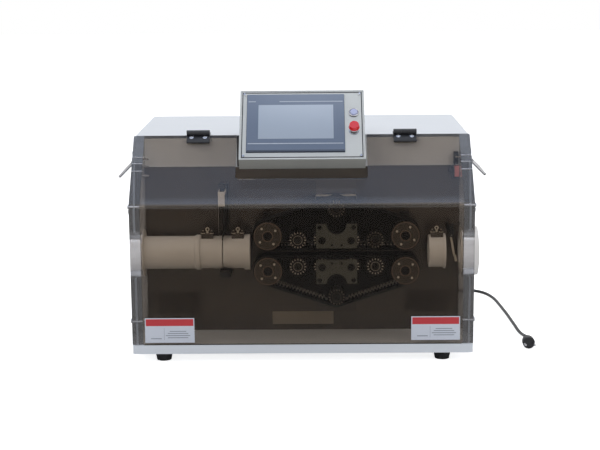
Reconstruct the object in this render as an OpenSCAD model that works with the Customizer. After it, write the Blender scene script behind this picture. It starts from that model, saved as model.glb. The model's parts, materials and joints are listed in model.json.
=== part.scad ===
// Bench machine that feeds plastic tube between two driven belts and cuts it to length.
// A tinted hood swings up over the feed and cutting unit, in front of a steel cabinet.
// Y is counted from the hood's front face in the modules, and in_place() moves it to the
// part's own origin, which is the middle of the footprint on the floor.

/* [Casing] */
// Width over the cabinet and the hood
case_w = 700; // [660:1:800]
// Depth from the hood's front face to the back of the cabinet
case_d = 481; // [440:1:560]
// Height of the cabinet's top above the floor
case_h = 457; // [452:1:500]
// Thickness of the painted steel sheet
sheet_t = 2; // [1.5:0.1:3]
// Height of the rubber feet
foot_h = 20; // [14:1:30]
// Height of the base tray's skirt
base_h = 18.5; // [12:0.5:19]
// Largest radius of a rubber foot
foot_r = 19; // [15:0.5:24]
// Distance of the feet from the machine's middle
foot_x = 289; // [240:1:300]
// Distance of the feet from the front and back edges
foot_inset = 34; // [28:1:60]
// Depth of the working space under the hood
hood_d = 122; // [119:1:126]
// Height of the top edge of the dark bulkhead
wall_top = 390; // [386:1:410]
// Thickness of the bulkhead plate
wall_t = 8; // [6:0.5:10]

/* [Hood] */
// Height of the fold in the hood
fold_z = 330; // [310:1:345]
// Thickness of the clear side panels
side_t = 22; // [15:0.5:24]
// Thickness of the tinted sheet
tint_t = 5; // [4:0.5:6]
// Outer radius of the sheet's fold
fold_r = 15; // [8:1:20]
// Width of the notch round the display
notch_w = 271; // [266:1:300]
// Length of the notch down the slope
notch_l = 111; // [111:0.5:120]
// Distance of each hood hinge from the middle
hinge_x = 215; // [180:1:250]
// Width of a hood hinge
hinge_w = 48; // [36:1:60]
// Radius of the hinge pin
hinge_pin_r = 2.5; // [2:0.1:3]
// Radius of the round hole in each hood side panel
port_r = 34; // [33:0.5:40]

/* [Display] */
// Width of the display box
disp_w = 257; // [240:1:258]
// Height of the display box's face
disp_h = 175; // [165:1:175]
// Depth of the display box
disp_d = 33; // [26:1:36]
// Angle of the face from upright
disp_tilt = 43.3; // [40:0.1:47]
// Width of the touch panel's bezel
hmi_w = 200.4; // [190:0.1:204]
// Height of the touch panel's bezel
hmi_h = 144.2; // [130:0.1:150]
// Thickness of the bezel in front of the face plate
hmi_t = 6.5; // [4:0.5:9]

/* [Tube path] */
// Height of the tube's axis above the floor
nip_z = 219.5; // [214:0.5:225]
// Distance of the tube's axis behind the hood's front face
tube_y = 70; // [66:1:72]
// Bore of the guides and flanges
bore_r = 25; // [20:0.5:28]
// Outer radius of the guide tubes
guide_r = 34; // [31:0.5:36]
// Outer radius of the guides' end collars
collar_r = 36.5; // [36.5:0.1:38]
// Radius of the flanges outside the hood
flange_r = 50.5; // [42:0.5:51]
// Thickness of the flanges
flange_t = 12; // [6:0.5:14]

/* [Feed unit] */
// Middle of the belt unit, to the right of the machine's middle
unit_x = 71; // [66:1:76]
// Half the gap between the two belts when closed
nip_half = 5.5; // [3:0.1:6]
// Distance of an end pulley from the unit's middle
end_x = 142; // [138:1:146]
// Distance of an outer idler from the unit's middle
idler_x = 80; // [78:0.5:84]
// Distance of an inner idler from the unit's middle
inner_x = 30; // [27:0.5:32]
// Distance of a drive pulley from the belt unit's nip
drive_up = 93; // [90:0.5:96]
// Pitch radius of the end pulleys
end_r = 27; // [25:0.5:28]
// Pitch radius of the idlers and drive pulleys
small_r = 18; // [17:0.5:18.5]
// Width of the belts and pulleys
belt_w = 40; // [34:1:44]
// Thickness of the belt outside its pitch line
belt_back = 4.5; // [3:0.1:5]
// Depth of the pulley teeth
tooth_h = 4; // [3:0.1:4.5]
// Width of the aluminium front plates
plate_w = 84; // [80:1:88]
// Height of the aluminium front plates
plate_h = 50; // [48:1:54]
// Thickness of the aluminium front plates
plate_t = 8; // [5:0.5:10]
// Radius of the round cut in each front plate
plate_cut_r = 21; // [16:0.5:22]
// How far each carriage opens from the closed belts
open_travel = 25; // [10:1:26]
// Radius of the vertical guide rods
rod_r = 6; // [5:0.5:7]
// Radius of the two-handed lead screw
screw_r = 5; // [4:0.5:6]

/* [Cutter] */
// Place of the cut along the machine
cut_x = -164; // [-166:0.5:-163]
// Thickness of the blade
blade_t = 1.5; // [1:0.1:1.8]
// Width of the slot between the two cutting guides
slot_w = 2; // [2:0.1:3]
// Width of the blade from front to back in front of the bulkhead
blade_w = 60; // [54:1:62]

/* [Handles] */
// Distance between a carry handle's two pivots
grip_w = 100; // [80:1:130]
// Length of a carry handle's arms
arm_l = 45; // [35:1:55]
// Radius of the handle's steel rod
handle_rod_r = 3; // [2.5:0.1:4]

/* [Cord] */
// Diameter of the power cord
cord_d = 7; // [6:0.5:8]

/* [Hidden] */
$fn = 48;
// Running clearance, seating gap and the gap between pieces that pass each other
run_gap = 0.05;
seat_gap = 0.3;
pass_gap = 2;
base_top = foot_h + base_h;
side_x = case_w / 2;
// Reach of the cord gland and the switch behind the cabinet, and the frame's shift in Y
rear_reach = 20;
front_y = -(case_d + rear_reach) / 2;
inner_side_x = side_x - side_t;
wall_back = hood_d + wall_t;
back_in = case_d - sheet_t;
hood_bottom = base_top + 1.5;
// Hinge line of the hood: above the corner where its slope meets the cabinet's top
hinge_y = hood_d - 4;
hinge_z = case_h + 6;
knuckle_r = 5.5;
leaf_t = 4;
slope_l = sqrt(pow(hood_d, 2) + pow(case_h - fold_z, 2));
slope_a = atan2(case_h - fold_z, hood_d);
// Middle of the display's face, its height and depth from the hinge line
disp_x = 1.7;
disp_y = hinge_y - 40;
disp_z = hinge_z + 21;
hmi_x = -13.4;
hmi_s = 3.5;
button_x = 106.1;
start_s = 28.3;
stop_s = -16.4;
ring_r = 10.5;
cap_r = 8.2;
stop_r = 11.5;
stem_r = 6;
shell_t = 2;
// Radii and places of the feed unit, counted from the nip
end_up = nip_half + belt_back + end_r;
idler_up = nip_half + belt_back + small_r;
belt_in = 0.4;
tip_in = belt_in + 0.3;
end_teeth = 24;
small_teeth = 16;
belt_pitch = 2 * PI * end_r / end_teeth;
spindle_r = 8;
shaft_r = 6;
belt_y0 = tube_y - 16;
belt_y1 = belt_y0 + belt_w;
pulley_y0 = belt_y0 - 4;
frame_y0 = belt_y1 + 2;
frame_t = 12;
frame_low = 16;
housing_top = drive_up + 17;
front_plate_y = pulley_y0 - 2 - plate_t;
rod_y = wall_back + 24;
rod_x = 60;
screw_x = unit_x - 90;
slider_t = 24;
slider_h = 22;
motor_w = 60;
motor_l = 80;
rod_low = 60;
rod_high = nip_z + 152.5;
centring_l = 24;
end_block_t = 12;
housing_w = 40;
// Places along the tube path
outlet_end = cut_x - 46.5;
guide_low = cut_x - 46;
guide_high = cut_x + 56;
inlet_x1 = inner_side_x - 32;
inlet_x0 = inlet_x1 - 34.5;
collar_l = 12;
sensor_x = inlet_x1 + 12;
clamp_w = 25;
clamp_low = cut_x - 32;
clamp_mid = cut_x + 31;
clamp_in = inlet_x1 - 18;
saddle_half = 14;
saddle_h = 7.5;
port_plug_r = flange_r - 1.5;
// Places of the cutter
blade_y0 = tube_y - blade_w / 2;
blade_rest = nip_z + 30.5;
blade_top = blade_rest + 95;
tang_z = blade_rest + 30;
blade_travel = 70;
cheek_top = blade_rest + 105;
// Carry handles
handle_x = side_x + 6;
handle_y = 200;
handle_z = 397;
handle_a = 45;
// Power supply and control board behind the works, in front of the rear panel's switch
inner_y = case_d - 61;
supply_x = side_x - 240;
supply_w = 200;
supply_d = 100;
supply_h = 42;
slit_step = 15;
louvre_x = side_x - 170;
louvre_l = 160;
louvre_step = 16;
board_x = 40 - side_x;
board_w = 200;
board_d = 140;
// Power cord: the gland behind the cabinet, the coil and the run on the floor
cord_r = cord_d / 2;
gland_x = 300;
gland_z = 60;
switch_z = gland_z + 1;
gland_l = 18;
coil_x = 340;
coil_y = 569;
coil_in = 35;
coil_out = 49;
cord_to_coil = [[300, 501, 60], [300, 505, 60], [299.6, 513.9, 58.6], [298.7, 522, 54.7], [297.3, 528.6, 48.5],
  [295.6, 533, 40.7], [293.8, 535.5, 32], [291.9, 538, 23.3], [290.2, 542.5, 15.5], [288.8, 549, 9.3],
  [287.9, 557.1, 5.4], [287.5, 566, 4], [289.6, 583, 4], [297, 596, 4]];
cord_to_plug = [[342, 615, 11], [352, 615, 11], [364, 616, 10.5], [376, 617.5, 8], [388, 618, 5.3], [399, 617.5, 4],
  [410, 615, 4], [421, 609.5, 4], [431, 601, 4], [440, 589, 4], [448, 572, 4], [455, 547, 4], [460, 517, 4],
  [464, 470, 4], [467, 425, 4], [470, 375, 4], [472, 325, 4], [474, 275, 4], [476, 225, 4], [478, 188, 7],
  [479, 155, 12], [479, 140, 13]];
plug_x = 479;
plug_y = 140;
plug_l = 46;
plug_r = 13;

// Helpers that place and turn plain shapes
module in_place() {
  translate([0, front_y, 0]) children();
}

// A flat shape drawn in X and Z, from y0 back to y1
module xz_plate(y0, y1) {
  translate([0, y1, 0]) rotate([90, 0, 0]) linear_extrude(y1 - y0) children();
}

// A flat shape drawn in Y and Z, from x0 to x1
module yz_plate(x0, x1) {
  translate([x0, 0, 0]) rotate([90, 0, 90]) linear_extrude(x1 - x0) children();
}

module block(low, high) {
  translate(low) cube([for (i = [0:2]) high[i] - low[i]]);
}

module x_bar(x0, x1, y, z, r) {
  translate([x0, y, z]) rotate([0, 90, 0]) cylinder(r = r, h = x1 - x0);
}

module y_bar(x, y0, y1, z, r) {
  translate([x, y1, z]) rotate([90, 0, 0]) cylinder(r = r, h = y1 - y0);
}

module z_bar(x, y, z0, z1, r) {
  translate([x, y, z0]) cylinder(r = r, h = z1 - z0);
}

// Points of an arc
function arc(cx, cy, r, a0, a1, n = 6) =
  [for (i = [0:n]) [cx + r * cos(a0 + (a1 - a0) * i / n), cy + r * sin(a0 + (a1 - a0) * i / n)]];

// Points of a rectangle with round corners
function round_box(w, h, r) = concat(
  arc(w / 2 - r, h / 2 - r, r, 0, 90), arc(-w / 2 + r, h / 2 - r, r, 90, 180),
  arc(-w / 2 + r, -h / 2 + r, r, 180, 270), arc(w / 2 - r, -h / 2 + r, r, 270, 360));

// The display's own frame: X along the face, Y into the box, Z up the face
module in_display() {
  translate([disp_x, disp_y, disp_z]) rotate([-disp_tilt, 0, 0]) children();
}

// A point of that frame in Y and Z of the machine
function disp_point(s, d) = [
  disp_y + s * sin(disp_tilt) + d * cos(disp_tilt), disp_z + s * cos(disp_tilt) - d * sin(disp_tilt)];

// The bend of the hood in Y and Z, set in from its outer face by t
function hood_bend(t) = arc(fold_r, fold_z - fold_r * tan(45 - slope_a / 2), fold_r - t, 180, 90 + slope_a);

// The feed unit's own frame: the nip at the origin; side is 1 above the tube and -1 below it
module in_unit(side) {
  translate([unit_x, 0, nip_z]) mirror([0, 0, side > 0 ? 0 : 1]) children();
}

// Steel tray under the whole machine, open below
module base_tray() {
  color("white") in_place() difference() {
    translate([0, case_d / 2, foot_h]) linear_extrude(base_h) polygon(round_box(case_w, case_d, 6));
    block([-side_x + sheet_t, sheet_t, foot_h - 1], [side_x - sheet_t, back_in, base_top - sheet_t]);
    for (x = [-foot_x, foot_x], y = [foot_inset, case_d - foot_inset])
      z_bar(x, y, base_top - 2 * sheet_t, base_top + 1, 3);
  }
}

// Tapered rubber feet with a screw in each, standing on the floor
module rubber_feet() {
  color("black") in_place() for (x = [-foot_x, foot_x], y = [foot_inset, case_d - foot_inset])
    translate([x, y, 0]) difference() {
      union() {
        cylinder(r1 = foot_r - 4, r2 = foot_r, h = foot_h);
        z_bar(0, 0, foot_h - 1, base_top - sheet_t, foot_r - 7);
      }
      z_bar(0, 0, -1, foot_h / 2, 6);
      z_bar(0, 0, 0, base_top + 1, 2.6);
    }
}

// Folded steel cover: the top, both sides and the white band over the bulkhead
module cabinet_cover() {
  color("white") in_place() difference() {
    translate([0, 0, (case_h + base_top) / 2]) xz_plate(hood_d, case_d)
      polygon(concat(arc(side_x - 6, (case_h - base_top) / 2 - 6, 6, 0, 90),
        arc(-side_x + 6, (case_h - base_top) / 2 - 6, 6, 90, 180),
        [[-side_x, -(case_h - base_top) / 2], [side_x, -(case_h - base_top) / 2]]));
    block([-side_x + sheet_t, hood_d + sheet_t, base_top - 1], [side_x - sheet_t, case_d + 1, case_h - sheet_t]);
    block([-side_x + sheet_t, hood_d - 1, base_top - 1], [side_x - sheet_t, hood_d + 3 * sheet_t, wall_top]);
    for (side = [-1, 1], y = [handle_y - grip_w / 2, handle_y + grip_w / 2])
      x_bar(side * side_x - 4, side * side_x + 4, y, handle_z - 8, 1.6);
  }
}

// Rear panel with its louvres, the switch cut-out and the hole for the gland
module rear_panel() {
  w = side_x - sheet_t - seat_gap;
  color("white") in_place() difference() {
    block([-w, back_in, base_top], [w, case_d, case_h - sheet_t - seat_gap]);
    for (side = [-1, 1], i = [0:9]) translate([side * louvre_x, 0, case_h - 207 + louvre_step * i])
      block([-louvre_l / 2, back_in - 1, 0], [louvre_l / 2, case_d + 1, 6]);
    block([gland_x - 94, back_in - 1, 50], [gland_x - 66, case_d + 1, 72]);
    y_bar(gland_x, back_in - 1, case_d + 1, gland_z, 6 + run_gap);
  }
}

// Dark plate behind the working space, slotted for the two carriages and the blade
module bulkhead() {
  w = side_x - sheet_t - seat_gap;
  slot_half = housing_w / 2 + 3;
  slot_far = drive_up + housing_w / 2 + open_travel + 3;
  slot_near = drive_up - housing_w / 2 - 3;
  color([0.23, 0.21, 0.2]) in_place() difference() {
    block([-w, hood_d, base_top], [w, wall_back, wall_top]);
    for (side = [1, -1]) in_unit(side)
      block([-slot_half, hood_d - 1, slot_near], [slot_half, wall_back + 1, slot_far]);
    block([cut_x - 3, hood_d - 1, tang_z - blade_travel - 3], [cut_x + 3, wall_back + 1, blade_top + 3]);
  }
  color([0.5, 0.48, 0.46]) in_place() block([-65, hood_d - 1, 51], [65, hood_d, 79]);
}

// The half of each hood hinge that is screwed to the cabinet's top, with the pin
module hinge_fixed_leaves() {
  mid = hinge_w / 6;
  color("black") in_place() for (x = [-hinge_x, hinge_x]) {
    difference() {
      union() {
        block([x - hinge_w / 2, hinge_y + knuckle_r + 1, case_h], [x + hinge_w / 2, hinge_y + 24, case_h + leaf_t]);
        block([x - mid, hinge_y, case_h + 0.6], [x + mid, hinge_y + knuckle_r + 2, case_h + leaf_t + 3]);
        x_bar(x - mid, x + mid, hinge_y, hinge_z, knuckle_r);
      }
      block([x - hinge_w, hinge_y - 9, case_h - 9], [x + hinge_w, hood_d + 0.3, case_h + 0.6]);
      for (dx = [-14, 14]) z_bar(x + dx, hinge_y + 16, case_h - 1, case_h + leaf_t + 1, 2.1);
    }
    x_bar(x - hinge_w / 2, x + hinge_w / 2, hinge_y, hinge_z, hinge_pin_r);
  }
}

// The half of each hinge that is screwed to the slope of the hood, with its outer knuckles
module hinge_hood_leaves() {
  mid = hinge_w / 6 + seat_gap;
  color("black") in_place() for (x = [-hinge_x, hinge_x]) difference() {
    union() {
      translate([0, hood_d, case_h]) rotate([slope_a, 0, 0])
        block([x - hinge_w / 2, -28, 0], [x + hinge_w / 2, -2, leaf_t]);
      x_bar(x - hinge_w / 2, x + hinge_w / 2, hinge_y, hinge_z, knuckle_r);
    }
    x_bar(x - hinge_w, x + hinge_w, hinge_y, hinge_z, hinge_pin_r + run_gap);
    block([x - mid, hinge_y - 8, hinge_z - 9], [x + mid, hinge_y + 9, hinge_z + 9]);
    translate([0, hood_d, case_h]) rotate([slope_a, 0, 0]) for (dx = [-14, 14])
      z_bar(x + dx, -20, -1, leaf_t + 1, 2.1);
  }
}

// Stainless box of the display on its neck, the inset face plate, and the collars of both buttons
module display_box() {
  w = disp_w / 2;
  h = disp_h / 2;
  color("silver") in_place() {
    difference() {
      union() {
        in_display() block([-w, 0, -h], [w, disp_d, h]);
        yz_plate(-90, 90) polygon([disp_point(18, disp_d - 1), disp_point(60, disp_d - 1),
          [disp_point(60, disp_d)[0], case_h], [hood_d, case_h]]);
      }
      in_display() block([-w + shell_t, -1, -h + shell_t], [w - shell_t, disp_d - shell_t, h - shell_t]);
    }
    in_display() difference() {
      block([-w + shell_t + seat_gap, 1, -h + shell_t + seat_gap], [w - shell_t - seat_gap, 3, h - shell_t - seat_gap]);
      block([hmi_x - hmi_w / 2 + 5, 0, hmi_s - hmi_h / 2 + 5], [hmi_x + hmi_w / 2 - 5, 4, hmi_s + hmi_h / 2 - 5]);
      for (s = [start_s, stop_s]) y_bar(button_x, 0, 4, s, cap_r);
    }
    in_display() for (x = [-w + 11, w - 11], s = [-h + 11, h - 11]) y_bar(x, 0, 1, s, 2.6);
  }
  color("gray") in_place() in_display() {
    difference() {
      union() {
        y_bar(button_x, -2.5, 1, start_s, ring_r);
        y_bar(button_x, 0.5, 20, start_s, cap_r - 0.1);
      }
      y_bar(button_x, -3, 10, start_s, cap_r - 1.4);
    }
    difference() {
      union() {
        y_bar(button_x, -8, 1, stop_s, ring_r - 1);
        y_bar(button_x, 0.5, 24, stop_s, cap_r - 0.1);
      }
      y_bar(button_x, -9, 16, stop_s, stem_r + run_gap);
    }
  }
}

// Touch panel: the bezel in front of the face plate and the case behind it
module touch_panel() {
  w = hmi_w / 2;
  h = hmi_h / 2;
  color([0.55, 0.58, 0.63]) in_place() in_display() translate([hmi_x, 0, hmi_s]) difference() {
    union() {
      xz_plate(1 - hmi_t, 1) polygon(round_box(hmi_w, hmi_h, 4));
      block([-w + 6, 0.5, -h + 6], [w - 6, disp_d - 8, h - 6]);
    }
    block([-76.4, 0 - hmi_t, -43], [77.6, 2 - hmi_t, 43]);
  }
  color([0.6, 0.65, 0.72]) in_place() in_display() translate([hmi_x, 0, hmi_s])
    block([-76.4, 1.6 - hmi_t, -43], [77.6, 2 - hmi_t, 43]);
}

// The sprung cap of the start button
module start_button() {
  color("lightsteelblue") in_place() in_display() y_bar(button_x, -4.5, 4, start_s, cap_r - 1.4 - run_gap);
}

// Red mushroom of the stop button on its stem
module stop_button() {
  color("red") in_place() in_display() {
    y_bar(button_x, -14, 8, stop_s, stem_r);
    translate([button_x, -13, stop_s]) rotate([90, 0, 0]) cylinder(r1 = stop_r, r2 = stop_r - 2, h = 7);
  }
}

// A guide tube along X with its bore, flared at one end
module guide(x0, x1, collar_x0, collar_x1, flare_x) {
  difference() {
    union() {
      x_bar(x0, x1, tube_y, nip_z, guide_r);
      x_bar(collar_x0, collar_x1, tube_y, nip_z, collar_r);
    }
    x_bar(x0 - 1, x1 + 1, tube_y, nip_z, bore_r);
    if (flare_x > x0) translate([x1 - 6, tube_y, nip_z]) rotate([0, 90, 0])
      cylinder(r1 = bore_r, r2 = bore_r + 6, h = 6.01);
  }
}

// White guides: one on each side of the cut, and one at the inlet
module tube_guides() {
  color("ivory") in_place() {
    guide(guide_low, cut_x - slot_w / 2, guide_low, guide_low + 1, guide_low);
    guide(cut_x + slot_w / 2, guide_high, guide_high - collar_l, guide_high, guide_high);
    guide(inlet_x0, inlet_x1, inlet_x1 - 5, inlet_x1, inlet_x1);
  }
}

// Saddles above and below each guide, carried by the bulkhead, with two screws and an eye on top
module guide_clamp(x) {
  half = clamp_w / 2;
  for (side = [-1, 1]) difference() {
    translate([0, 0, nip_z]) mirror([0, 0, side > 0 ? 0 : 1]) union() {
      block([x - half, tube_y - saddle_half, 20], [x + half, tube_y + saddle_half, guide_r + (side > 0 ? saddle_h : 2)]);
      block([x - half, tube_y + saddle_half - 1, 22], [x + half, hood_d, 34]);
    }
    x_bar(x - 20, x + 20, tube_y, nip_z, guide_r + seat_gap / 2);
  }
}

module clamp_screws(x) {
  top = nip_z + guide_r + saddle_h;
  for (dx = [-9, 9]) z_bar(x + dx, tube_y - 9, top, top + 5.5, 3.5);
  translate([x, tube_y - 5, top]) difference() {
    union() {
      z_bar(0, 0, 0, 6, 1.5);
      y_bar(0, -1, 1, 8, 4);
    }
    y_bar(0, -2, 2, 8, 2.4);
  }
}

module guide_clamps() {
  color([0.25, 0.23, 0.22]) in_place() for (x = [clamp_low, clamp_mid, clamp_in]) guide_clamp(x);
  color("silver") in_place() for (x = [clamp_low, clamp_mid, clamp_in]) clamp_screws(x);
}

// Two stainless cheeks that the blade runs between, and the slotted block under the cut
module blade_guide() {
  gap = blade_t / 2 + 0.25;
  cheek_low = nip_z + guide_r + 0.5;
  color("gainsboro") in_place() {
    block([cut_x - 10, tube_y + 14, cheek_low], [cut_x - gap, hood_d, cheek_top]);
    block([cut_x + gap, tube_y + 14, cheek_low], [cut_x + 6, hood_d, cheek_top]);
    block([cut_x + 8, hood_d - 12, cheek_low + 16], [cut_x + 10, hood_d, cheek_top]);
  }
  color([0.12, 0.12, 0.12]) in_place() difference() {
    block([cut_x - 6, blade_y0 - 4, nip_z - guide_r - 12], [cut_x + 16, hood_d, nip_z - guide_r - seat_gap]);
    block([cut_x - gap, blade_y0 - 5, nip_z - guide_r - 10], [cut_x + gap, hood_d - 8, nip_z]);
  }
}

// Thin blade with a slanted edge; its tang passes the bulkhead to a clamp on the actuator's rod
module cutting_blade() {
  y1 = blade_y0 + blade_w;
  y2 = wall_back + 20;
  clamp_z = blade_top - 32;
  color("silver") in_place() {
    yz_plate(cut_x - blade_t / 2, cut_x + blade_t / 2) polygon([[blade_y0, blade_rest], [y1, blade_rest + 12],
      [y1 + 12, tang_z], [wall_back + 4, tang_z], [wall_back + 4, clamp_z], [y2, clamp_z], [y2, blade_top],
      [blade_y0, blade_top]]);
    block([cut_x - 12, wall_back + 4, clamp_z], [cut_x - blade_t / 2, y2 + 4, clamp_z + 28]);
    block([cut_x + blade_t / 2, wall_back + 4, clamp_z], [cut_x + 12, y2 + 4, clamp_z + 28]);
    z_bar(cut_x, y2 + 10, clamp_z - 110, clamp_z + 28, 6);
    block([cut_x - 12, y2 + 4, clamp_z], [cut_x + 12, y2 + 18, clamp_z + 28]);
  }
}

// Electric cylinder behind the bulkhead that pulls the blade down; its bore takes the rod
module cutter_actuator() {
  y = wall_back + 30;
  low = base_top;
  high = blade_top - 32 - blade_travel - 3;
  color([0.2, 0.2, 0.22]) in_place() difference() {
    union() {
      block([cut_x - 22, y - 22, low + 10], [cut_x + 22, y + 22, high]);
      block([cut_x - 30, wall_back, low], [cut_x + 30, y + 30, low + 10.1]);
      block([cut_x - 20, y + 20, low + 10], [cut_x + 20, y + 70, low + 66]);
    }
    z_bar(cut_x, y, low + 12, high + 1, 6 + run_gap);
  }
}

// Two upright rods behind the bulkhead and the blocks that hold them
module guide_rods() {
  color("silver") in_place() for (x = [unit_x - rod_x, unit_x + rod_x])
    z_bar(x, rod_y, rod_low - end_block_t + 2, rod_high + end_block_t - 2, rod_r);
  color([0.3, 0.3, 0.32]) in_place() for (z = [rod_low - end_block_t, rod_high]) difference() {
    block([screw_x - 18, wall_back, z], [unit_x + rod_x + 14, rod_y + 12, z + end_block_t]);
    for (x = [unit_x - rod_x, unit_x + rod_x])
      z_bar(x, rod_y, rod_low - end_block_t + 2 - seat_gap, rod_high + end_block_t - 2 + seat_gap, rod_r + run_gap);
    z_bar(screw_x, rod_y, z - 1, z + end_block_t + 1, screw_r + run_gap);
  }
}

// Motor above the lead screw
module centring_motor() {
  z = rod_high + end_block_t;
  color([0.15, 0.15, 0.16]) in_place() difference() {
    block([screw_x - 21, rod_y - 21, z], [screw_x + 21, rod_y + 21, z + centring_l]);
    z_bar(screw_x, rod_y, z - 1, z + 20, screw_r + run_gap);
  }
}

// Two-handed screw that opens and closes both carriages
module lead_screw() {
  color("silver") in_place() {
    z_bar(screw_x, rod_y, rod_low - end_block_t + 1, rod_high + end_block_t + 16, screw_r);
    z_bar(screw_x, rod_y, rod_low + 0.5, rod_low + 8, screw_r + 4);
  }
}

// Sensor at the inlet: the body on its bracket
module sensor_block() {
  color([0.1, 0.1, 0.1]) in_place() difference() {
    union() {
      block([sensor_x - 5, tube_y - 14, nip_z + 31.5], [sensor_x + 5, tube_y + 14, nip_z + 54]);
      block([sensor_x - 5, tube_y + 13, nip_z + 38], [sensor_x - 2, hood_d, nip_z + 52]);
    }
    block([sensor_x - 6, tube_y - 6, nip_z + 30], [sensor_x + 3.5, tube_y + 6, nip_z + 40]);
    y_bar(sensor_x, tube_y - 15, tube_y + 15, nip_z + 35, 1.5 + run_gap);
  }
}

// Sprung steel lever that the tube pushes aside as it comes in
module sensor_lever() {
  color("silver") in_place() translate([sensor_x, tube_y, nip_z + 35]) {
    y_bar(0, -11, 11, 0, 1.5);
    rotate([0, -10, 0]) for (y = [-4, 1.5]) block([-0.8, y, -57], [0.8, y + 2.5, 1]);
  }
}

// Door switch for the hood, on the bulkhead by the right side panel
module interlock_switch() {
  x = inner_side_x - 16;
  color([0.1, 0.1, 0.1]) in_place() {
    block([x, hood_d - 22, wall_top - 24], [x + 13, hood_d, wall_top - 0.5]);
    x_bar(x - 6, x, hood_d - 11, wall_top - 10, 4);
  }
  color("firebrick") in_place() block([x, hood_d - 24, wall_top - 26], [x + 13, hood_d - 22, wall_top - 4]);
}

// Angle of the outward normal on the belt's run from the right end pulley to the drive pulley
run_l = sqrt(pow(end_x, 2) + pow(drive_up - end_up, 2));
run_a = atan2(drive_up - end_up, -end_x) - acos((end_r - small_r) / run_l);

// Closed outline of the belt, counted from its pitch line
function belt_line(off) = concat(
  arc(end_x, end_up, end_r + off, -90, run_a, 14), arc(0, drive_up, small_r + off, run_a, 180 - run_a, 8),
  arc(-end_x, end_up, end_r + off, 180 - run_a, 270, 14));

// Outline of a toothed pulley
function toothed(r, n) = [for (i = [0:n - 1], p = [[-0.34, r - tooth_h], [-0.14, r], [0.14, r], [0.34, r - tooth_h]])
  [p[1] * cos((i + p[0]) * 360 / n), p[1] * sin((i + p[0]) * 360 / n)]];

// One belt: smooth where it wraps a pulley, toothed inside on the free runs
module belt() {
  tooth = [belt_pitch / 2, tooth_h];
  xz_plate(belt_y0, belt_y1) {
    difference() {
      polygon(belt_line(belt_back));
      polygon(belt_line(-belt_in));
    }
    for (side = [0, 1]) mirror([side, 0])
      translate([end_x + (end_r - belt_in) * cos(run_a), end_up + (end_r - belt_in) * sin(run_a)])
        rotate(run_a + 90) for (i = [3:floor(run_l / belt_pitch) - 3])
          translate([i * belt_pitch, -0.2]) square(tooth);
    for (x = [-1.5:1.5]) translate([x * belt_pitch - tooth[0] / 2, nip_half + belt_back + belt_in - 0.2]) square(tooth);
    for (side = [-1, 1], zone = [[inner_x, idler_x, 0], [idler_x, end_x, 0.5]], k = [-1:1])
      translate([side * ((zone[0] + zone[1]) / 2 - 2 * zone[2] + k * belt_pitch) - tooth[0] / 2,
        nip_half + belt_back + belt_in - 0.2]) square(tooth);
  }
}

module end_pulley(x) {
  difference() {
    union() {
      translate([x, 0, end_up]) xz_plate(pulley_y0, belt_y1 + 1) polygon(toothed(end_r - tip_in, end_teeth));
      y_bar(x, pulley_y0 - 4, pulley_y0, end_up, end_r + 1.8);
      for (a = [20:90:290]) y_bar(x + 20 * cos(a), pulley_y0 - 5.5, pulley_y0 - 3, end_up + 20 * sin(a), 2.6);
    }
    y_bar(x, pulley_y0 - 7, belt_y1 + 2, end_up, spindle_r + run_gap);
  }
}

module small_pulley(x, z, bore) {
  difference() {
    translate([x, 0, z]) xz_plate(pulley_y0, belt_y1 + 1) polygon(toothed(small_r - tip_in, small_teeth));
    y_bar(x, pulley_y0 - 1, pulley_y0 + 2, z, spindle_r + 3);
    y_bar(x, pulley_y0 - 1, belt_y1 + 2, z, bore);
  }
}

// Drive pulley on its shaft, which runs through the carriage into the motor
module drive_pulley() {
  small_pulley(0, drive_up, shaft_r - 1);
  y_bar(0, pulley_y0 + 1, rod_y + slider_t / 2 + 30, drive_up, shaft_r);
}

// Carriage: the dark frame behind the belt, the housing through the bulkhead and the slider on the rods
module carriage() {
  slide_y = rod_y - slider_t / 2;
  color([0.2, 0.2, 0.19]) difference() {
    union() {
      block([-end_x - 18, frame_y0, frame_low], [end_x + 18, frame_y0 + frame_t, frame_low + 30]);
      for (x = [-end_x, end_x]) block([x - 10, frame_y0, frame_low], [x + 10, frame_y0 + frame_t, end_up + 41]);
      for (x = [-idler_x, idler_x]) block([x - 10, frame_y0, frame_low], [x + 10, frame_y0 + frame_t, idler_up + 24]);
      block([-plate_w / 2, frame_y0, frame_low], [plate_w / 2, frame_y0 + 22, housing_top]);
      block([-housing_w / 2, frame_y0 + 20, drive_up - housing_w / 2],
        [housing_w / 2, slide_y + 1, drive_up + housing_w / 2]);
      block([screw_x - unit_x - 14, slide_y, drive_up - slider_h],
        [rod_x + 14, slide_y + slider_t, drive_up + slider_h]);
    }
    y_bar(0, frame_y0 - 1, slide_y + slider_t + 1, drive_up, shaft_r + run_gap);
    for (x = [-rod_x, rod_x]) z_bar(x, rod_y, drive_up - slider_h - 1, drive_up + slider_h + 1, rod_r + run_gap);
    z_bar(screw_x - unit_x, rod_y, drive_up - slider_h - 1, drive_up + slider_h + 1, screw_r + run_gap);
  }
  color([0.35, 0.33, 0.3]) {
    for (x = [-end_x, end_x]) y_bar(x, pulley_y0 - 2, frame_y0, end_up, spindle_r);
    for (x = [-idler_x, idler_x]) y_bar(x, pulley_y0 + 1, frame_y0, idler_up, spindle_r);
    for (x = [-inner_x, inner_x]) y_bar(x, front_plate_y + 4, frame_y0, idler_up, spindle_r);
    for (x = [-35, 35]) y_bar(x, front_plate_y + 4, frame_y0, nip_half + plate_h, 4.9);
  }
}

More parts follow.
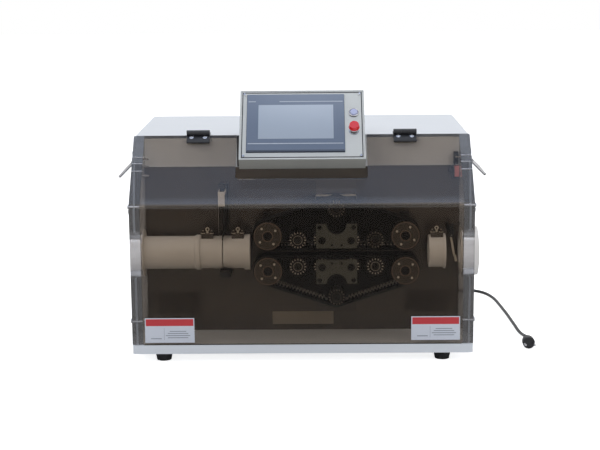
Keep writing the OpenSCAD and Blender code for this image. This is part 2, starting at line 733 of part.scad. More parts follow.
// Aluminium plate in front of the inner idlers, with its round cut and holes
module front_plate() {
  low = nip_half + 7;
  color([0.72, 0.72, 0.7]) difference() {
    block([-plate_w / 2, front_plate_y, low], [plate_w / 2, front_plate_y + plate_t, low + plate_h]);
    y_bar(0, front_plate_y - 1, front_plate_y + plate_t + 1, low + plate_h, plate_cut_r);
    for (x = [-inner_x, inner_x]) y_bar(x, front_plate_y - 1, front_plate_y + plate_t + 1, idler_up, spindle_r + run_gap);
    for (x = [-35, 35]) y_bar(x, front_plate_y - 1, front_plate_y + plate_t + 1, nip_half + plate_h, 5);
    for (x = [-10, 10]) y_bar(x, front_plate_y - 1, front_plate_y + 4, low + 6, 1.5);
  }
}

// Feed motor on the back of its carriage
module feed_motor() {
  y = rod_y + slider_t / 2;
  half = motor_w / 2;
  color([0.15, 0.15, 0.16]) difference() {
    union() {
      block([-half, y, drive_up - half], [half, y + 8, drive_up + half]);
      block([-half + 3, y + 7, drive_up - half + 3], [half - 3, y + motor_l, drive_up + half - 3]);
    }
    y_bar(0, y - 1, y + 34, drive_up, shaft_r + run_gap);
  }
}

module upper_frame() { in_place() in_unit(1) carriage(); }
module lower_frame() { in_place() in_unit(-1) carriage(); }
module upper_front_plate() { in_place() in_unit(1) front_plate(); }
module lower_front_plate() { in_place() in_unit(-1) front_plate(); }
module upper_belt() { color([0.1, 0.1, 0.1]) in_place() in_unit(1) belt(); }
module lower_belt() { color([0.1, 0.1, 0.1]) in_place() in_unit(-1) belt(); }
module upper_motor() { in_place() in_unit(1) feed_motor(); }
module lower_motor() { in_place() in_unit(-1) feed_motor(); }

// The fourteen toothed pulleys, each turning by itself
module end_wheel(side, x) { color([0.7, 0.66, 0.6]) in_place() in_unit(side) end_pulley(x); }
module idler_wheel(side, x) { color([0.62, 0.6, 0.55]) in_place() in_unit(side) small_pulley(x, idler_up, spindle_r + run_gap); }
module drive_wheel(side) { color([0.62, 0.6, 0.55]) in_place() in_unit(side) drive_pulley(); }

// Tinted acrylic sheet, bent at the fold, with the notch round the display
module hood_sheet() {
  drop = tint_t / cos(slope_a);
  color([0.3, 0.26, 0.22, 0.6]) in_place() difference() {
    yz_plate(-inner_side_x, inner_side_x) polygon(concat([[0, hood_bottom]], hood_bend(0),
      [[hood_d, case_h], [hood_d, case_h - drop]], [for (i = [6:-1:0]) hood_bend(tint_t)[i]], [[tint_t, hood_bottom]]));
    translate([0, hood_d, case_h]) rotate([slope_a, 0, 0]) {
      block([-notch_w / 2, -notch_l + 6, -20], [notch_w / 2, 20, 20]);
      block([-notch_w / 2 + 6, -notch_l, -20], [notch_w / 2 - 6, 20, 20]);
      for (x = [-notch_w / 2 + 6, notch_w / 2 - 6]) z_bar(x, -notch_l + 6, -20, 20, 6);
    }
  }
}

// Clear side panel with the round port for the tube
module hood_side(x0, x1) {
  color([0.85, 0.88, 0.9, 0.4]) in_place() difference() {
    yz_plate(x0, x1) polygon(concat([[0, hood_bottom]], hood_bend(0), [[hood_d, case_h], [hood_d, hood_bottom]]));
    x_bar(x0 - 1, x1 + 1, tube_y, nip_z, port_plug_r + seat_gap);
  }
}

module hood_side_left() { hood_side(-side_x, -inner_side_x); }
module hood_side_right() { hood_side(inner_side_x, side_x); }

// Round-headed screws through the side panels into the sheet's edge
module hood_screws() {
  color("silver") in_place() for (side = [-1, 1], p = [[10, fold_z - 14], [10, 90], [hood_d - 16, case_h - 34]])
    x_bar(side > 0 ? side_x : -side_x - 2, side > 0 ? side_x + 2 : -side_x, p[0], p[1], 4);
}

// White tube from the left panel to the cutting guides, with its plug in the panel and a lip inside
module outlet_tube() {
  color("ivory") in_place() difference() {
    union() {
      x_bar(-side_x, -inner_side_x + 1, tube_y, nip_z, port_plug_r);
      x_bar(-inner_side_x, -inner_side_x + 3, tube_y, nip_z, flange_r);
      x_bar(-inner_side_x, outlet_end, tube_y, nip_z, port_r);
      x_bar(outlet_end - collar_l, outlet_end, tube_y, nip_z, collar_r);
    }
    x_bar(-side_x - 1, outlet_end + 1, tube_y, nip_z, bore_r);
  }
}

// White plug in the right panel, with its flange outside and a small rim inside
module inlet_flange() {
  color("ivory") in_place() difference() {
    union() {
      x_bar(side_x, side_x + flange_t, tube_y, nip_z, flange_r);
      x_bar(inner_side_x, side_x + 1, tube_y, nip_z, port_plug_r);
      x_bar(inner_side_x - 2, inner_side_x + 1, tube_y, nip_z, port_r + 5);
    }
    x_bar(inner_side_x - 3, side_x + flange_t + 1, tube_y, nip_z, bore_r);
  }
}

// Folding carry handle of bent rod; side is 1 on the right and -1 on the left
module carry_handle(side) {
  reach = arm_l - handle_rod_r;
  color("silver") in_place() translate([side * handle_x, handle_y, handle_z]) mirror([side > 0 ? 0 : 1, 0, 0])
    rotate([0, handle_a, 0]) {
      for (y = [-grip_w / 2, grip_w / 2]) {
        x_bar(0, reach, y, 0, handle_rod_r);
        translate([reach, y, 0]) sphere(r = handle_rod_r);
        y_bar(0, y - 5, y + 5, 0, handle_rod_r);
      }
      y_bar(reach, -grip_w / 2, grip_w / 2, 0, handle_rod_r);
    }
}

module carry_handle_left() { carry_handle(-1); }
module carry_handle_right() { carry_handle(1); }

// Ears of both carry handles on the cabinet's sides
module cabinet_hardware() {
  ear = 3;
  color("silver") in_place() for (side = [-1, 1], y = [handle_y - grip_w / 2, handle_y + grip_w / 2])
    mirror([side > 0 ? 0 : 1, 0, 0]) {
      difference() {
        union() {
          for (dy = [-7, 7 - ear]) {
            block([side_x, y + dy, handle_z - 5], [handle_x, y + dy + ear, handle_z + 5]);
            y_bar(handle_x, y + dy, y + dy + ear, handle_z, 5);
          }
          block([side_x, y - 7, handle_z - 16], [side_x + 1.5, y + 7, handle_z + 8]);
        }
        y_bar(handle_x, y - 8, y + 8, handle_z, handle_rod_r + run_gap);
      }
      x_bar(side_x + 1.5, side_x + 2.4, y, handle_z - 11, 3);
    }
  color("silver") in_place() for (side = [-1, 1], y = [60, case_d - 60])
    x_bar(side > 0 ? side_x : -side_x - 1.5, side > 0 ? side_x + 1.5 : -side_x, y, foot_h + base_h / 2, 3.5);
}

// Power supply in its pressed case on the tray
module power_supply() {
  color([0.7, 0.72, 0.74]) in_place() difference() {
    block([supply_x, inner_y - supply_d, base_top], [supply_x + supply_w, inner_y, base_top + supply_h]);
    for (i = [0:11]) block([supply_x + 14 + slit_step * i, inner_y - supply_d + 10, base_top + supply_h - 2],
      [supply_x + 21 + slit_step * i, inner_y - 10, base_top + supply_h + 1]);
  }
}

// Control board on its posts, with drivers, relays and terminals
module control_board() {
  z = base_top + 10;
  top = z + 1.6;
  color("darkgreen") in_place() block([board_x, inner_y - board_d, z], [board_x + board_w, inner_y, top]);
  color("gold") in_place() for (x = [board_x + 10, board_x + board_w - 10], y = [inner_y - board_d + 10, inner_y - 10])
    z_bar(x, y, base_top, z, 3);
  color([0.15, 0.15, 0.15]) in_place() translate([board_x, inner_y, top]) {
    for (i = [0:2]) block([15 + 60 * i, -120, 0], [60 + 60 * i, -70, 24.4]);
    for (i = [0:3]) block([20 + 42 * i, -55, 0], [48 + 42 * i, -35, 15.4]);
    block([10, -22, 0], [board_w - 10, -12, 9.4]);
  }
}

// Switch frame and cord gland in the rear panel
module power_entry() {
  x = gland_x - 80;
  color([0.08, 0.08, 0.08]) in_place() {
    difference() {
      union() {
        block([x - 17, case_d, switch_z - 14], [x + 17, case_d + 2, switch_z + 14]);
        block([x - 13.7, case_d - 24, switch_z - 10.7], [x + 13.7, case_d + 1, switch_z + 10.7]);
      }
      block([x - 11, case_d - 18, switch_z - 8], [x + 11, case_d + 3, switch_z + 8]);
      x_bar(x - 12.5, x + 12.5, case_d - 4, switch_z, 1.5 + run_gap);
    }
    difference() {
      union() {
        y_bar(gland_x, case_d, case_d + 6, gland_z, 11);
        y_bar(gland_x, case_d - 12, case_d + 1, gland_z, 6);
        translate([gland_x, case_d + 6, gland_z]) rotate([-90, 0, 0]) cylinder(r1 = 8, r2 = 5.5, h = gland_l - 6 + 2);
      }
      y_bar(gland_x, case_d - 13, case_d + gland_l + 3, gland_z, cord_r + run_gap);
    }
  }
}

// Rocker of the mains switch on its pivot
module mains_rocker() {
  x = gland_x - 80;
  color([0.7, 0.1, 0.08]) in_place() {
    x_bar(x - 12.3, x + 12.3, case_d - 4, switch_z, 1.5);
    translate([0, case_d - 4, switch_z]) rotate([8, 0, 0]) yz_plate(x - 10.5, x + 10.5)
      polygon([[-3, -6.3], [7.5, -6.5], [5.4, 0], [7.5, 6.5], [-3, 6.3]]);
  }
}

// Frames of a tube swept along a route: each ring lies square to the route
function unit(v) = v / norm(v);
function heading(p, i) = unit(p[min(i + 1, len(p) - 1)] - p[max(i - 1, 0)]);
function across(h) = unit(cross(h, abs(h[2]) < 0.8 ? [0, 0, 1] : [1, 0, 0]));
function ring(c, h, r, n) =
  [for (k = [0:n - 1]) c + r * (cos(360 * k / n) * across(h) + sin(360 * k / n) * cross(across(h), h))];

module swept_tube(path, r) {
  n = 10;
  last = (len(path) - 1) * n;
  polyhedron(
    points = [for (i = [0:len(path) - 1], q = ring(path[i], heading(path, i), r, n)) q],
    faces = concat([[for (k = [0:n - 1]) k]], [[for (k = [n - 1:-1:0]) last + k]],
      [for (i = [0:len(path) - 2], k = [0:n - 1]) [i * n + k, (i + 1) * n + k, (i + 1) * n + (k + 1) % n, i * n + (k + 1) % n]]));
}

// The cord from its gland down to the coil, and from the coil to the plug
module power_cord() {
  color([0.15, 0.15, 0.16]) in_place() {
    swept_tube(cord_to_coil, cord_r);
    swept_tube(cord_to_plug, cord_r);
  }
}

// Outer shape of the coiled cord behind the cabinet
module cord_coil() {
  color([0.15, 0.15, 0.16]) in_place() translate([coil_x, coil_y, 0]) rotate_extrude()
    translate([coil_in, 0]) square([coil_out - coil_in, 2 * cord_d]);
}

// Moulded mains plug with two round pins
module mains_plug() {
  color([0.15, 0.15, 0.16]) in_place() {
    y_bar(plug_x, plug_y - plug_l, plug_y, plug_r, plug_r);
    for (dx = [-9.5, 9.5]) y_bar(plug_x + dx, plug_y - plug_l - 19, plug_y - plug_l, plug_r, 2.4);
  }
}

base_tray();
rubber_feet();
cabinet_cover();
rear_panel();
bulkhead();
hinge_fixed_leaves();
display_box();
touch_panel();
tube_guides();
guide_clamps();
blade_guide();
cutter_actuator();
guide_rods();
centring_motor();
sensor_block();
interlock_switch();
cabinet_hardware();
power_supply();
control_board();
power_entry();
hood_sheet();
hood_side_left();
hood_side_right();
hood_screws();
hinge_hood_leaves();
outlet_tube();
inlet_flange();
upper_frame();
upper_front_plate();
upper_belt();
upper_motor();
lower_frame();
lower_front_plate();
lower_belt();
lower_motor();
drive_wheel(1);  // upper_drive_pulley
end_wheel(1, -end_x);  // upper_end_pulley_left
end_wheel(1, end_x);  // upper_end_pulley_right
idler_wheel(1, -idler_x);  // upper_idler_left
idler_wheel(1, idler_x);  // upper_idler_right
idler_wheel(1, -inner_x);  // upper_inner_idler_left
idler_wheel(1, inner_x);  // upper_inner_idler_right
drive_wheel(-1);  // lower_drive_pulley
end_wheel(-1, -end_x);  // lower_end_pulley_left
end_wheel(-1, end_x);  // lower_end_pulley_right
idler_wheel(-1, -idler_x);  // lower_idler_left
idler_wheel(-1, idler_x);  // lower_idler_right
idler_wheel(-1, -inner_x);  // lower_inner_idler_left
idler_wheel(-1, inner_x);  // lower_inner_idler_right
lead_screw();
cutting_blade();
sensor_lever();
start_button();
stop_button();
carry_handle_left();
carry_handle_right();
mains_rocker();
power_cord();
cord_coil();
mains_plug();
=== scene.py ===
"""Dresses the tube cutting machine: finishes, fine shapes, the power cord, a plain studio and the camera."""

import json
import logging
import math
from collections.abc import Iterable, Sequence
from dataclasses import dataclass, field
from enum import Enum

import bmesh
import bpy
from mathutils import Matrix, Vector

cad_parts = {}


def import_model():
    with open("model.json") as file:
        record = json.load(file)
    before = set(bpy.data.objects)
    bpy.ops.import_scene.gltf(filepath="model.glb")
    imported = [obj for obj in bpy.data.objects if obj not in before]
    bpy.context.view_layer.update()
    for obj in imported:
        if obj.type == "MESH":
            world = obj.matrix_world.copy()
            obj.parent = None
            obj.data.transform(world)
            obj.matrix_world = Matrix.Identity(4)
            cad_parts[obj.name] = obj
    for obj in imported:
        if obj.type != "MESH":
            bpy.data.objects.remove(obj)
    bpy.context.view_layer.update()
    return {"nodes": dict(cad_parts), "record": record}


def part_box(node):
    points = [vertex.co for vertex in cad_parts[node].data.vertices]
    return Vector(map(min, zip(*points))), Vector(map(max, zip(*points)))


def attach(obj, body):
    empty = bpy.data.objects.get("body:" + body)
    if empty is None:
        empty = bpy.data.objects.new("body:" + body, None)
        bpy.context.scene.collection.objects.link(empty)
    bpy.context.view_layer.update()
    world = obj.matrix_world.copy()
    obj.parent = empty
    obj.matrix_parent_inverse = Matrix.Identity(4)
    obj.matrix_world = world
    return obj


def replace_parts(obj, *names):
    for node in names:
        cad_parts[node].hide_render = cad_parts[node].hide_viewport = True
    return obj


log = logging.getLogger("scene")

MM = 0.001

Point = Sequence[float]
Pair = tuple[float, float]
Box = tuple[Point, Point, float]
Tree = bpy.types.NodeTree
Socket = bpy.types.NodeSocket
UNTURNED = Matrix.Identity(3)


# Places

def at(x: float, y: float, z: float) -> Vector:
    """A point of the machine in metres, from millimetres with Y counted from the hood's front."""
    return Vector((x * MM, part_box("hood_sheet")[0].y + y * MM, z * MM))


def polar(centre: Pair, radius: float, angle: float) -> Pair:
    """The point at a radius and an angle in radians from a centre."""
    return centre[0] + radius * math.cos(angle), centre[1] + radius * math.sin(angle)


def stand(name: str, data: bpy.types.ID, matrix: Matrix | None = None) -> bpy.types.Object:
    """Puts data into the scene as an object.

    Args:
        name: The object's name.
        data: Its mesh, curve, camera or lamp data.
        matrix: Where it stands, if not at the origin.

    Returns:
        The object.
    """
    made = bpy.data.objects.new(name, data)
    bpy.context.scene.collection.objects.link(made)
    if matrix:
        made.matrix_world = matrix
    return made


# Colour

def linear(code: str) -> tuple[float, float, float, float]:
    """Turns an sRGB hex value to linear.

    Args:
        code: Six hex digits, such as "ffffff".

    Returns:
        Red, green, blue and an alpha of 1.
    """
    parts = [int(code[i:i + 2], 16) / 255 for i in (0, 2, 4)]
    tones = [c / 12.92 if c <= 0.04045 else ((c + 0.055) / 1.055) ** 2.4 for c in parts]
    return (tones[0], tones[1], tones[2], 1.0)


# Finishes

def add(tree: Tree, kind: str, settings: dict | None = None, links: dict | None = None) -> bpy.types.Node:
    """Adds one shader node.

    Args:
        tree: The node tree to add to.
        kind: The node's type name without the leading ShaderNode.
        settings: Attribute names, or input names, and their values.
        links: Input names or numbers and the output sockets that feed them.

    Returns:
        The new node.
    """
    node = tree.nodes.new("ShaderNode" + kind)
    for key, value in (settings or {}).items():
        if key in node.inputs:
            node.inputs[key].default_value = value
        else:
            setattr(node, key, value)
    for key, socket in (links or {}).items():
        tree.links.new(socket, node.inputs[key])
    return node


class Grain(Enum):
    """How a surface's fine pattern runs."""

    PEBBLED = (1.0, 1.0, 1.0)
    ALONG_X = (0.02, 1.0, 1.0)
    ALONG_Y = (1.0, 0.02, 1.0)
    ALONG_Z = (1.0, 1.0, 0.02)


@dataclass(frozen=True)
class Finish:
    """One surface finish, made with the Principled shader.

    The grain drives the roughness and the bump, and broad clouds blend the colour into its second tone.
    A coat of film may change with height, as ridges_mm says, and edge tints what the surface mirrors.
    """

    name: str
    colour: str
    second: str
    roughness: float
    spread: float = 0.06
    metallic: float = 0.0
    ior: float = 1.5
    transmission: float = 0.0
    specular: float = 0.5
    coat: float = 0.0
    coat_ior: float = 1.5
    coat_rough: float = 0.03
    ridges_mm: tuple[Pair, ...] = ()
    edge: str = "ffffff"
    grain: Grain = Grain.PEBBLED
    grain_mm: float = 0.8
    height_mm: float = 0.01
    cloud_mm: float = 60.0

    def material(self) -> bpy.types.Material:
        """Builds the material, or finds it where another piece has it.

        Returns:
            The material.
        """
        found = bpy.data.materials.get(self.name + "_finish")
        if found:
            return found
        made = bpy.data.materials.new(self.name + "_finish")
        made.use_nodes = True
        tree = made.node_tree
        inputs = tree.nodes["Principled BSDF"].inputs
        plain = {"Metallic": self.metallic, "Transmission Weight": self.transmission,
                 "Specular IOR Level": self.specular, "Specular Tint": linear(self.edge),
                 "Coat Weight": self.coat, "Coat IOR": self.coat_ior, "Coat Roughness": self.coat_rough}
        if not self.metallic:
            plain["IOR"] = self.ior
        for key, value in plain.items():
            inputs[key].default_value = value
        place = add(tree, "TexCoord").outputs["Object"]
        clouds = add(tree, "TexNoise", {"Scale": 1 / (self.cloud_mm * MM), "Detail": 3.0}, {"Vector": place})
        blend = add(tree, "Mix", {"data_type": "RGBA"}, {"Factor": clouds.outputs["Fac"]})
        first, second = [socket for socket in blend.inputs if socket.type == "RGBA"]
        first.default_value = linear(self.colour)
        second.default_value = linear(self.second)
        tone = next(socket for socket in blend.outputs if socket.type == "RGBA")
        stretched = add(tree, "Mapping", {"Scale": self.grain.value}, {"Vector": place})
        noise = add(tree, "TexNoise", {"Scale": 1 / (self.grain_mm * MM), "Detail": 3.0, "Roughness": 0.6},
                    {"Vector": stretched.outputs["Vector"]}).outputs["Fac"]
        rough = add(tree, "MapRange", {"To Min": max(0.0, self.roughness - self.spread),
                                       "To Max": min(1.0, self.roughness + self.spread)}, {"Value": noise})
        feeds = {"Base Color": tone, "Roughness": rough.outputs["Result"]}
        if self.ridges_mm:
            feeds["Coat Weight"] = self.film(tree, place)
        if self.height_mm:
            bump = add(tree, "Bump", {"Distance": self.height_mm * MM, "Strength": 0.5}, {"Height": noise})
            feeds["Normal"] = bump.outputs["Normal"]
        for key, socket in feeds.items():
            tree.links.new(socket, inputs[key])
        return made

    def film(self, tree: Tree, place: Socket) -> Socket:
        """Adds the weight of a film that changes with height, from the finish's list of heights and weights.

        Args:
            tree: The material's node tree.
            place: The socket of object coordinates.

        Returns:
            The socket of the film's weight.
        """
        low, high = self.ridges_mm[0][0], self.ridges_mm[-1][0]
        height = add(tree, "SeparateXYZ", links={"Vector": place}).outputs["Z"]
        along = add(tree, "MapRange", {"From Min": low * MM, "From Max": high * MM}, {"Value": height})
        ramp = add(tree, "ValToRGB", links={"Fac": along.outputs["Result"]})
        stops = ramp.color_ramp.elements
        for number, (level, weight) in enumerate(self.ridges_mm):
            where = (level - low) / (high - low)
            stop = stops[number] if number < 2 else stops.new(where)
            stop.position = where
            stop.color = (weight, weight, weight, 1)
        return ramp.outputs["Color"]

    def dress(self, piece: bpy.types.Object) -> None:
        """Gives a piece this finish and no other."""
        piece.data.materials.clear()
        piece.data.materials.append(self.material())


# Powder-coated steel sheet: a satin white with the faint orange peel of baked powder.
WHITE_ENAMEL = Finish("powder_coated_steel", "e4e9f0", "dfe5ed", 0.42, grain_mm=1.6, height_mm=0.03)
# The same coat in a near-black, on the bulkhead and the carriages behind the tint.
DARK_ENAMEL = Finish(
    "dark_powder_coat", "382d24", "322820", 0.5, coat=1.0, coat_ior=1.6, coat_rough=0.06, grain_mm=1.6,
    height_mm=0.0)
# Cast acrylic sheet tinted smoke brown: clear enough to show the works, with a sharp gloss. A hard-coat film
# on its slope mirrors the light from above, and stands in two glossy ridges where the sheet was bent hot.
TINTED_ACRYLIC = Finish(
    "smoked_acrylic", "c4baae", "c1b7ab", 0.03, 0.01, ior=1.49, transmission=1.0, specular=0.05,
    edge="747271", coat_ior=1.9, grain_mm=60.0, height_mm=0.0, cloud_mm=200,
    ridges_mm=((40, 0.05), (150, 0.02), (240, 0), (322, 0), (325, 0.52), (327.5, 0.1), (331, 0.66),
               (345, 0.28), (395, 0.26), (405, 0.14), (460, 0.08)))
# Thick clear acrylic, cut and flame-polished at its edges: faintly blue-grey where it is seen through.
CLEAR_ACRYLIC = Finish(
    "clear_acrylic", "e6e5e6", "e0dfe1", 0.03, 0.01, ior=1.49, transmission=0.9, grain_mm=60.0, height_mm=0.0,
    cloud_mm=200)
# Stainless sheet brushed along its length: fine parallel lines and a broad soft gloss.
BRUSHED_STAINLESS = Finish(
    "brushed_stainless", "b2b2b1", "a8a8a7", 0.42, 0.09, metallic=0.9, grain=Grain.ALONG_X, grain_mm=0.9,
    height_mm=0.006)
# The display's box: the same sheet, bead-blasted after folding, so that it is paler and duller.
BOX_STAINLESS = Finish(
    "blasted_stainless", "b9bab6", "acada9", 0.5, 0.08, metallic=0.55, grain=Grain.ALONG_X, grain_mm=0.9,
    height_mm=0.006)
# Ground and hardened steel, for rods, the blade and spindles: finer and brighter than sheet.
GROUND_STEEL = Finish(
    "ground_steel", "c4c2bd", "b5b3ae", 0.28, 0.06, metallic=1.0, grain=Grain.ALONG_Z, grain_mm=0.7,
    height_mm=0.004)
# Bright zinc-plated and chromed steel of screws, clips and handles.
BRIGHT_STEEL = Finish("bright_plated_steel", "b4b4b6", "a6a6a9", 0.2, 0.05, metallic=1.0, height_mm=0.004)
# Milled aluminium plate, clear anodised: pale grey with a dry satin surface.
ALUMINIUM_PLATE = Finish(
    "anodised_aluminium", "7a776e", "706d65", 0.4, 0.08, metallic=0.9, grain=Grain.ALONG_X)
# Blackened steel of the pulleys and cheeks: dark brown-grey with a dull metal sheen.
BLACKENED_STEEL = Finish("blackened_steel", "332e29", "2a2622", 0.45, 0.1, metallic=0.3, grain_mm=1.5)
# Dull black paint on the carriages' frames, darker than the bulkhead behind them.
FRAME_BLACK = Finish(
    "frame_black_paint", "211d1a", "1b1816", 0.62, specular=0.2, grain_mm=1.4, height_mm=0.03)
# Oiled steel of the end pulleys: a warm brown-grey, lighter than the blackened cheeks.
OILED_STEEL = Finish("oiled_steel", "4a433b", "3f3830", 0.45, 0.1, metallic=0.2, grain_mm=1.5)
# Machined steel that the belts keep worn: grey-brown teeth and rims with a soft shine. Its pale tone also
# stands in for glints on the clamp screws and on the frame's top edge, as painted highlight.
PALE_WEAR_AND_HIGHLIGHT_STEEL = Finish("pale_steel_wear_and_highlight", "ece4d6", "d6cdbf", 0.45, 0.1, metallic=0.2, grain_mm=1.1)
# Grey hard-anodised aluminium of the front plates.
PLATE_GREY = Finish("hard_anodised_plate", "5d5e57", "54554f", 0.5, 0.08, metallic=0.2, grain=Grain.ALONG_X)
# Rolled steel plate with a dull clear varnish.
VARNISHED_PLATE = Finish(
    "varnished_steel_plate", "989187", "8b847a", 0.5, 0.08, metallic=0.3, grain=Grain.ALONG_X, grain_mm=1.2)
# Sintered bronze of the pulleys' bushes.
BUSH_BRONZE = Finish("sintered_bronze", "7a685b", "6a594d", 0.45, 0.08, metallic=0.3, grain_mm=0.9)
# Grey nylon fabric on the toothed side of a belt.
BELT_FABRIC = Finish("belt_tooth_fabric", "b0aba3", "a39e96", 0.8, grain=Grain.ALONG_Y, height_mm=0.03)
# Black-oxide screws sunk in the front plates.
BLACK_OXIDE = Finish("black_oxide_steel", "171614", "1e1c1a", 0.5, 0.08, specular=0.2, height_mm=0.005)
# Turned POM and nylon parts: off-white with a waxy look and shallow tool marks.
WHITE_NYLON = Finish(
    "turned_white_nylon", "f0eeec", "e8e5e2", 0.42, grain=Grain.ALONG_Z, grain_mm=1.2, height_mm=0.02)
# Moulded black nylon of hinges, switches and blocks, with a fine spark-eroded texture.
BLACK_NYLON = Finish("moulded_black_nylon", "1b1c20", "202126", 0.48, height_mm=0.03)
# Neoprene timing belt: matt black with a faint chalky bloom.
BELT_RUBBER = Finish("neoprene_belt", "151312", "1b1918", 0.7, specular=0.15, grain_mm=0.9, height_mm=0.04)
# Rubber of the feet, a little greyer than the nylon.
FOOT_RUBBER = Finish("foot_rubber", "17171a", "1e1e21", 0.7, grain_mm=1.2, height_mm=0.05)
# Painted grey-blue front of the touch panel, moulded ABS with a fine matt texture.
PANEL_GREY = Finish("grey_panel_abs", "68778e", "647289", 0.45, grain_mm=0.7, height_mm=0.012)
# Baked black paint of the motors and their laminations.
MOTOR_BLACK = Finish("motor_black_paint", "1c1c1d", "232324", 0.5, grain_mm=0.9, height_mm=0.03)
# Bright zinc sheet of the power supply's case.
ZINC_CASE = Finish("zinc_plated_sheet", "b9bcbd", "a9adaf", 0.38, 0.1, metallic=0.9, grain_mm=3.0)
# Solder-resist green laminate of the control board.
BOARD_GREEN = Finish("solder_resist_laminate", "1f6b46", "1a5f3e", 0.35, grain_mm=1.0)
# Moulded blue lens of the start button.
BUTTON_BLUE = Finish("blue_button_lens", "b3bbe3", "c3caec", 0.25, coat=0.3, grain_mm=1.0, height_mm=0.004)
# Moulded red cap of the stop button, glossy ABS.
BUTTON_RED = Finish("red_button_abs", "e31b26", "d8161f", 0.22, coat=0.4, grain_mm=1.0, height_mm=0.004)
# Extruded PVC sheath of the mains cord: soft black with a dull sheen.
CORD_PVC = Finish("black_pvc_sheath", "17181a", "1d1e20", 0.45, height_mm=0.02)

SLOT_FINISHES: dict[str, Finish] = dict(
    white_enamel=WHITE_ENAMEL, foot_rubber=FOOT_RUBBER, dark_enamel=DARK_ENAMEL, black_nylon=BLACK_NYLON,
    stainless=BRUSHED_STAINLESS, panel_grey=PANEL_GREY, white_nylon=WHITE_NYLON, motor_black=MOTOR_BLACK,
    ground_steel=GROUND_STEEL, bright_steel=BRIGHT_STEEL, zinc_case=ZINC_CASE, board_green=BOARD_GREEN,
    tinted_acrylic=TINTED_ACRYLIC, clear_acrylic=CLEAR_ACRYLIC, aluminium_plate=ALUMINIUM_PLATE,
    belt_rubber=BELT_RUBBER, button_blue=BUTTON_BLUE, button_red=BUTTON_RED, cord_pvc=CORD_PVC)

NODE_FINISHES: dict[str, Finish] = dict(
    blade_guide=BLACKENED_STEEL, cutting_blade=BLACKENED_STEEL, display_box=BOX_STAINLESS)
for _unit in ("upper", "lower"):
    NODE_FINISHES[_unit + "_front_plate"] = PLATE_GREY
    for _part in ("frame", "drive_pulley", "idler_left", "idler_right", "inner_idler_left",
                  "inner_idler_right"):
        NODE_FINISHES[f"{_unit}_{_part}"] = FRAME_BLACK


# Mesh making

SHARP_DEGREES = 32
SOFT_DEGREES = 40


class Axis(Enum):
    """The way that a round shape's axis points."""

    X = Matrix.Rotation(math.radians(90), 3, "Y")
    Y = Matrix.Rotation(math.radians(-90), 3, "X")
    Z = UNTURNED


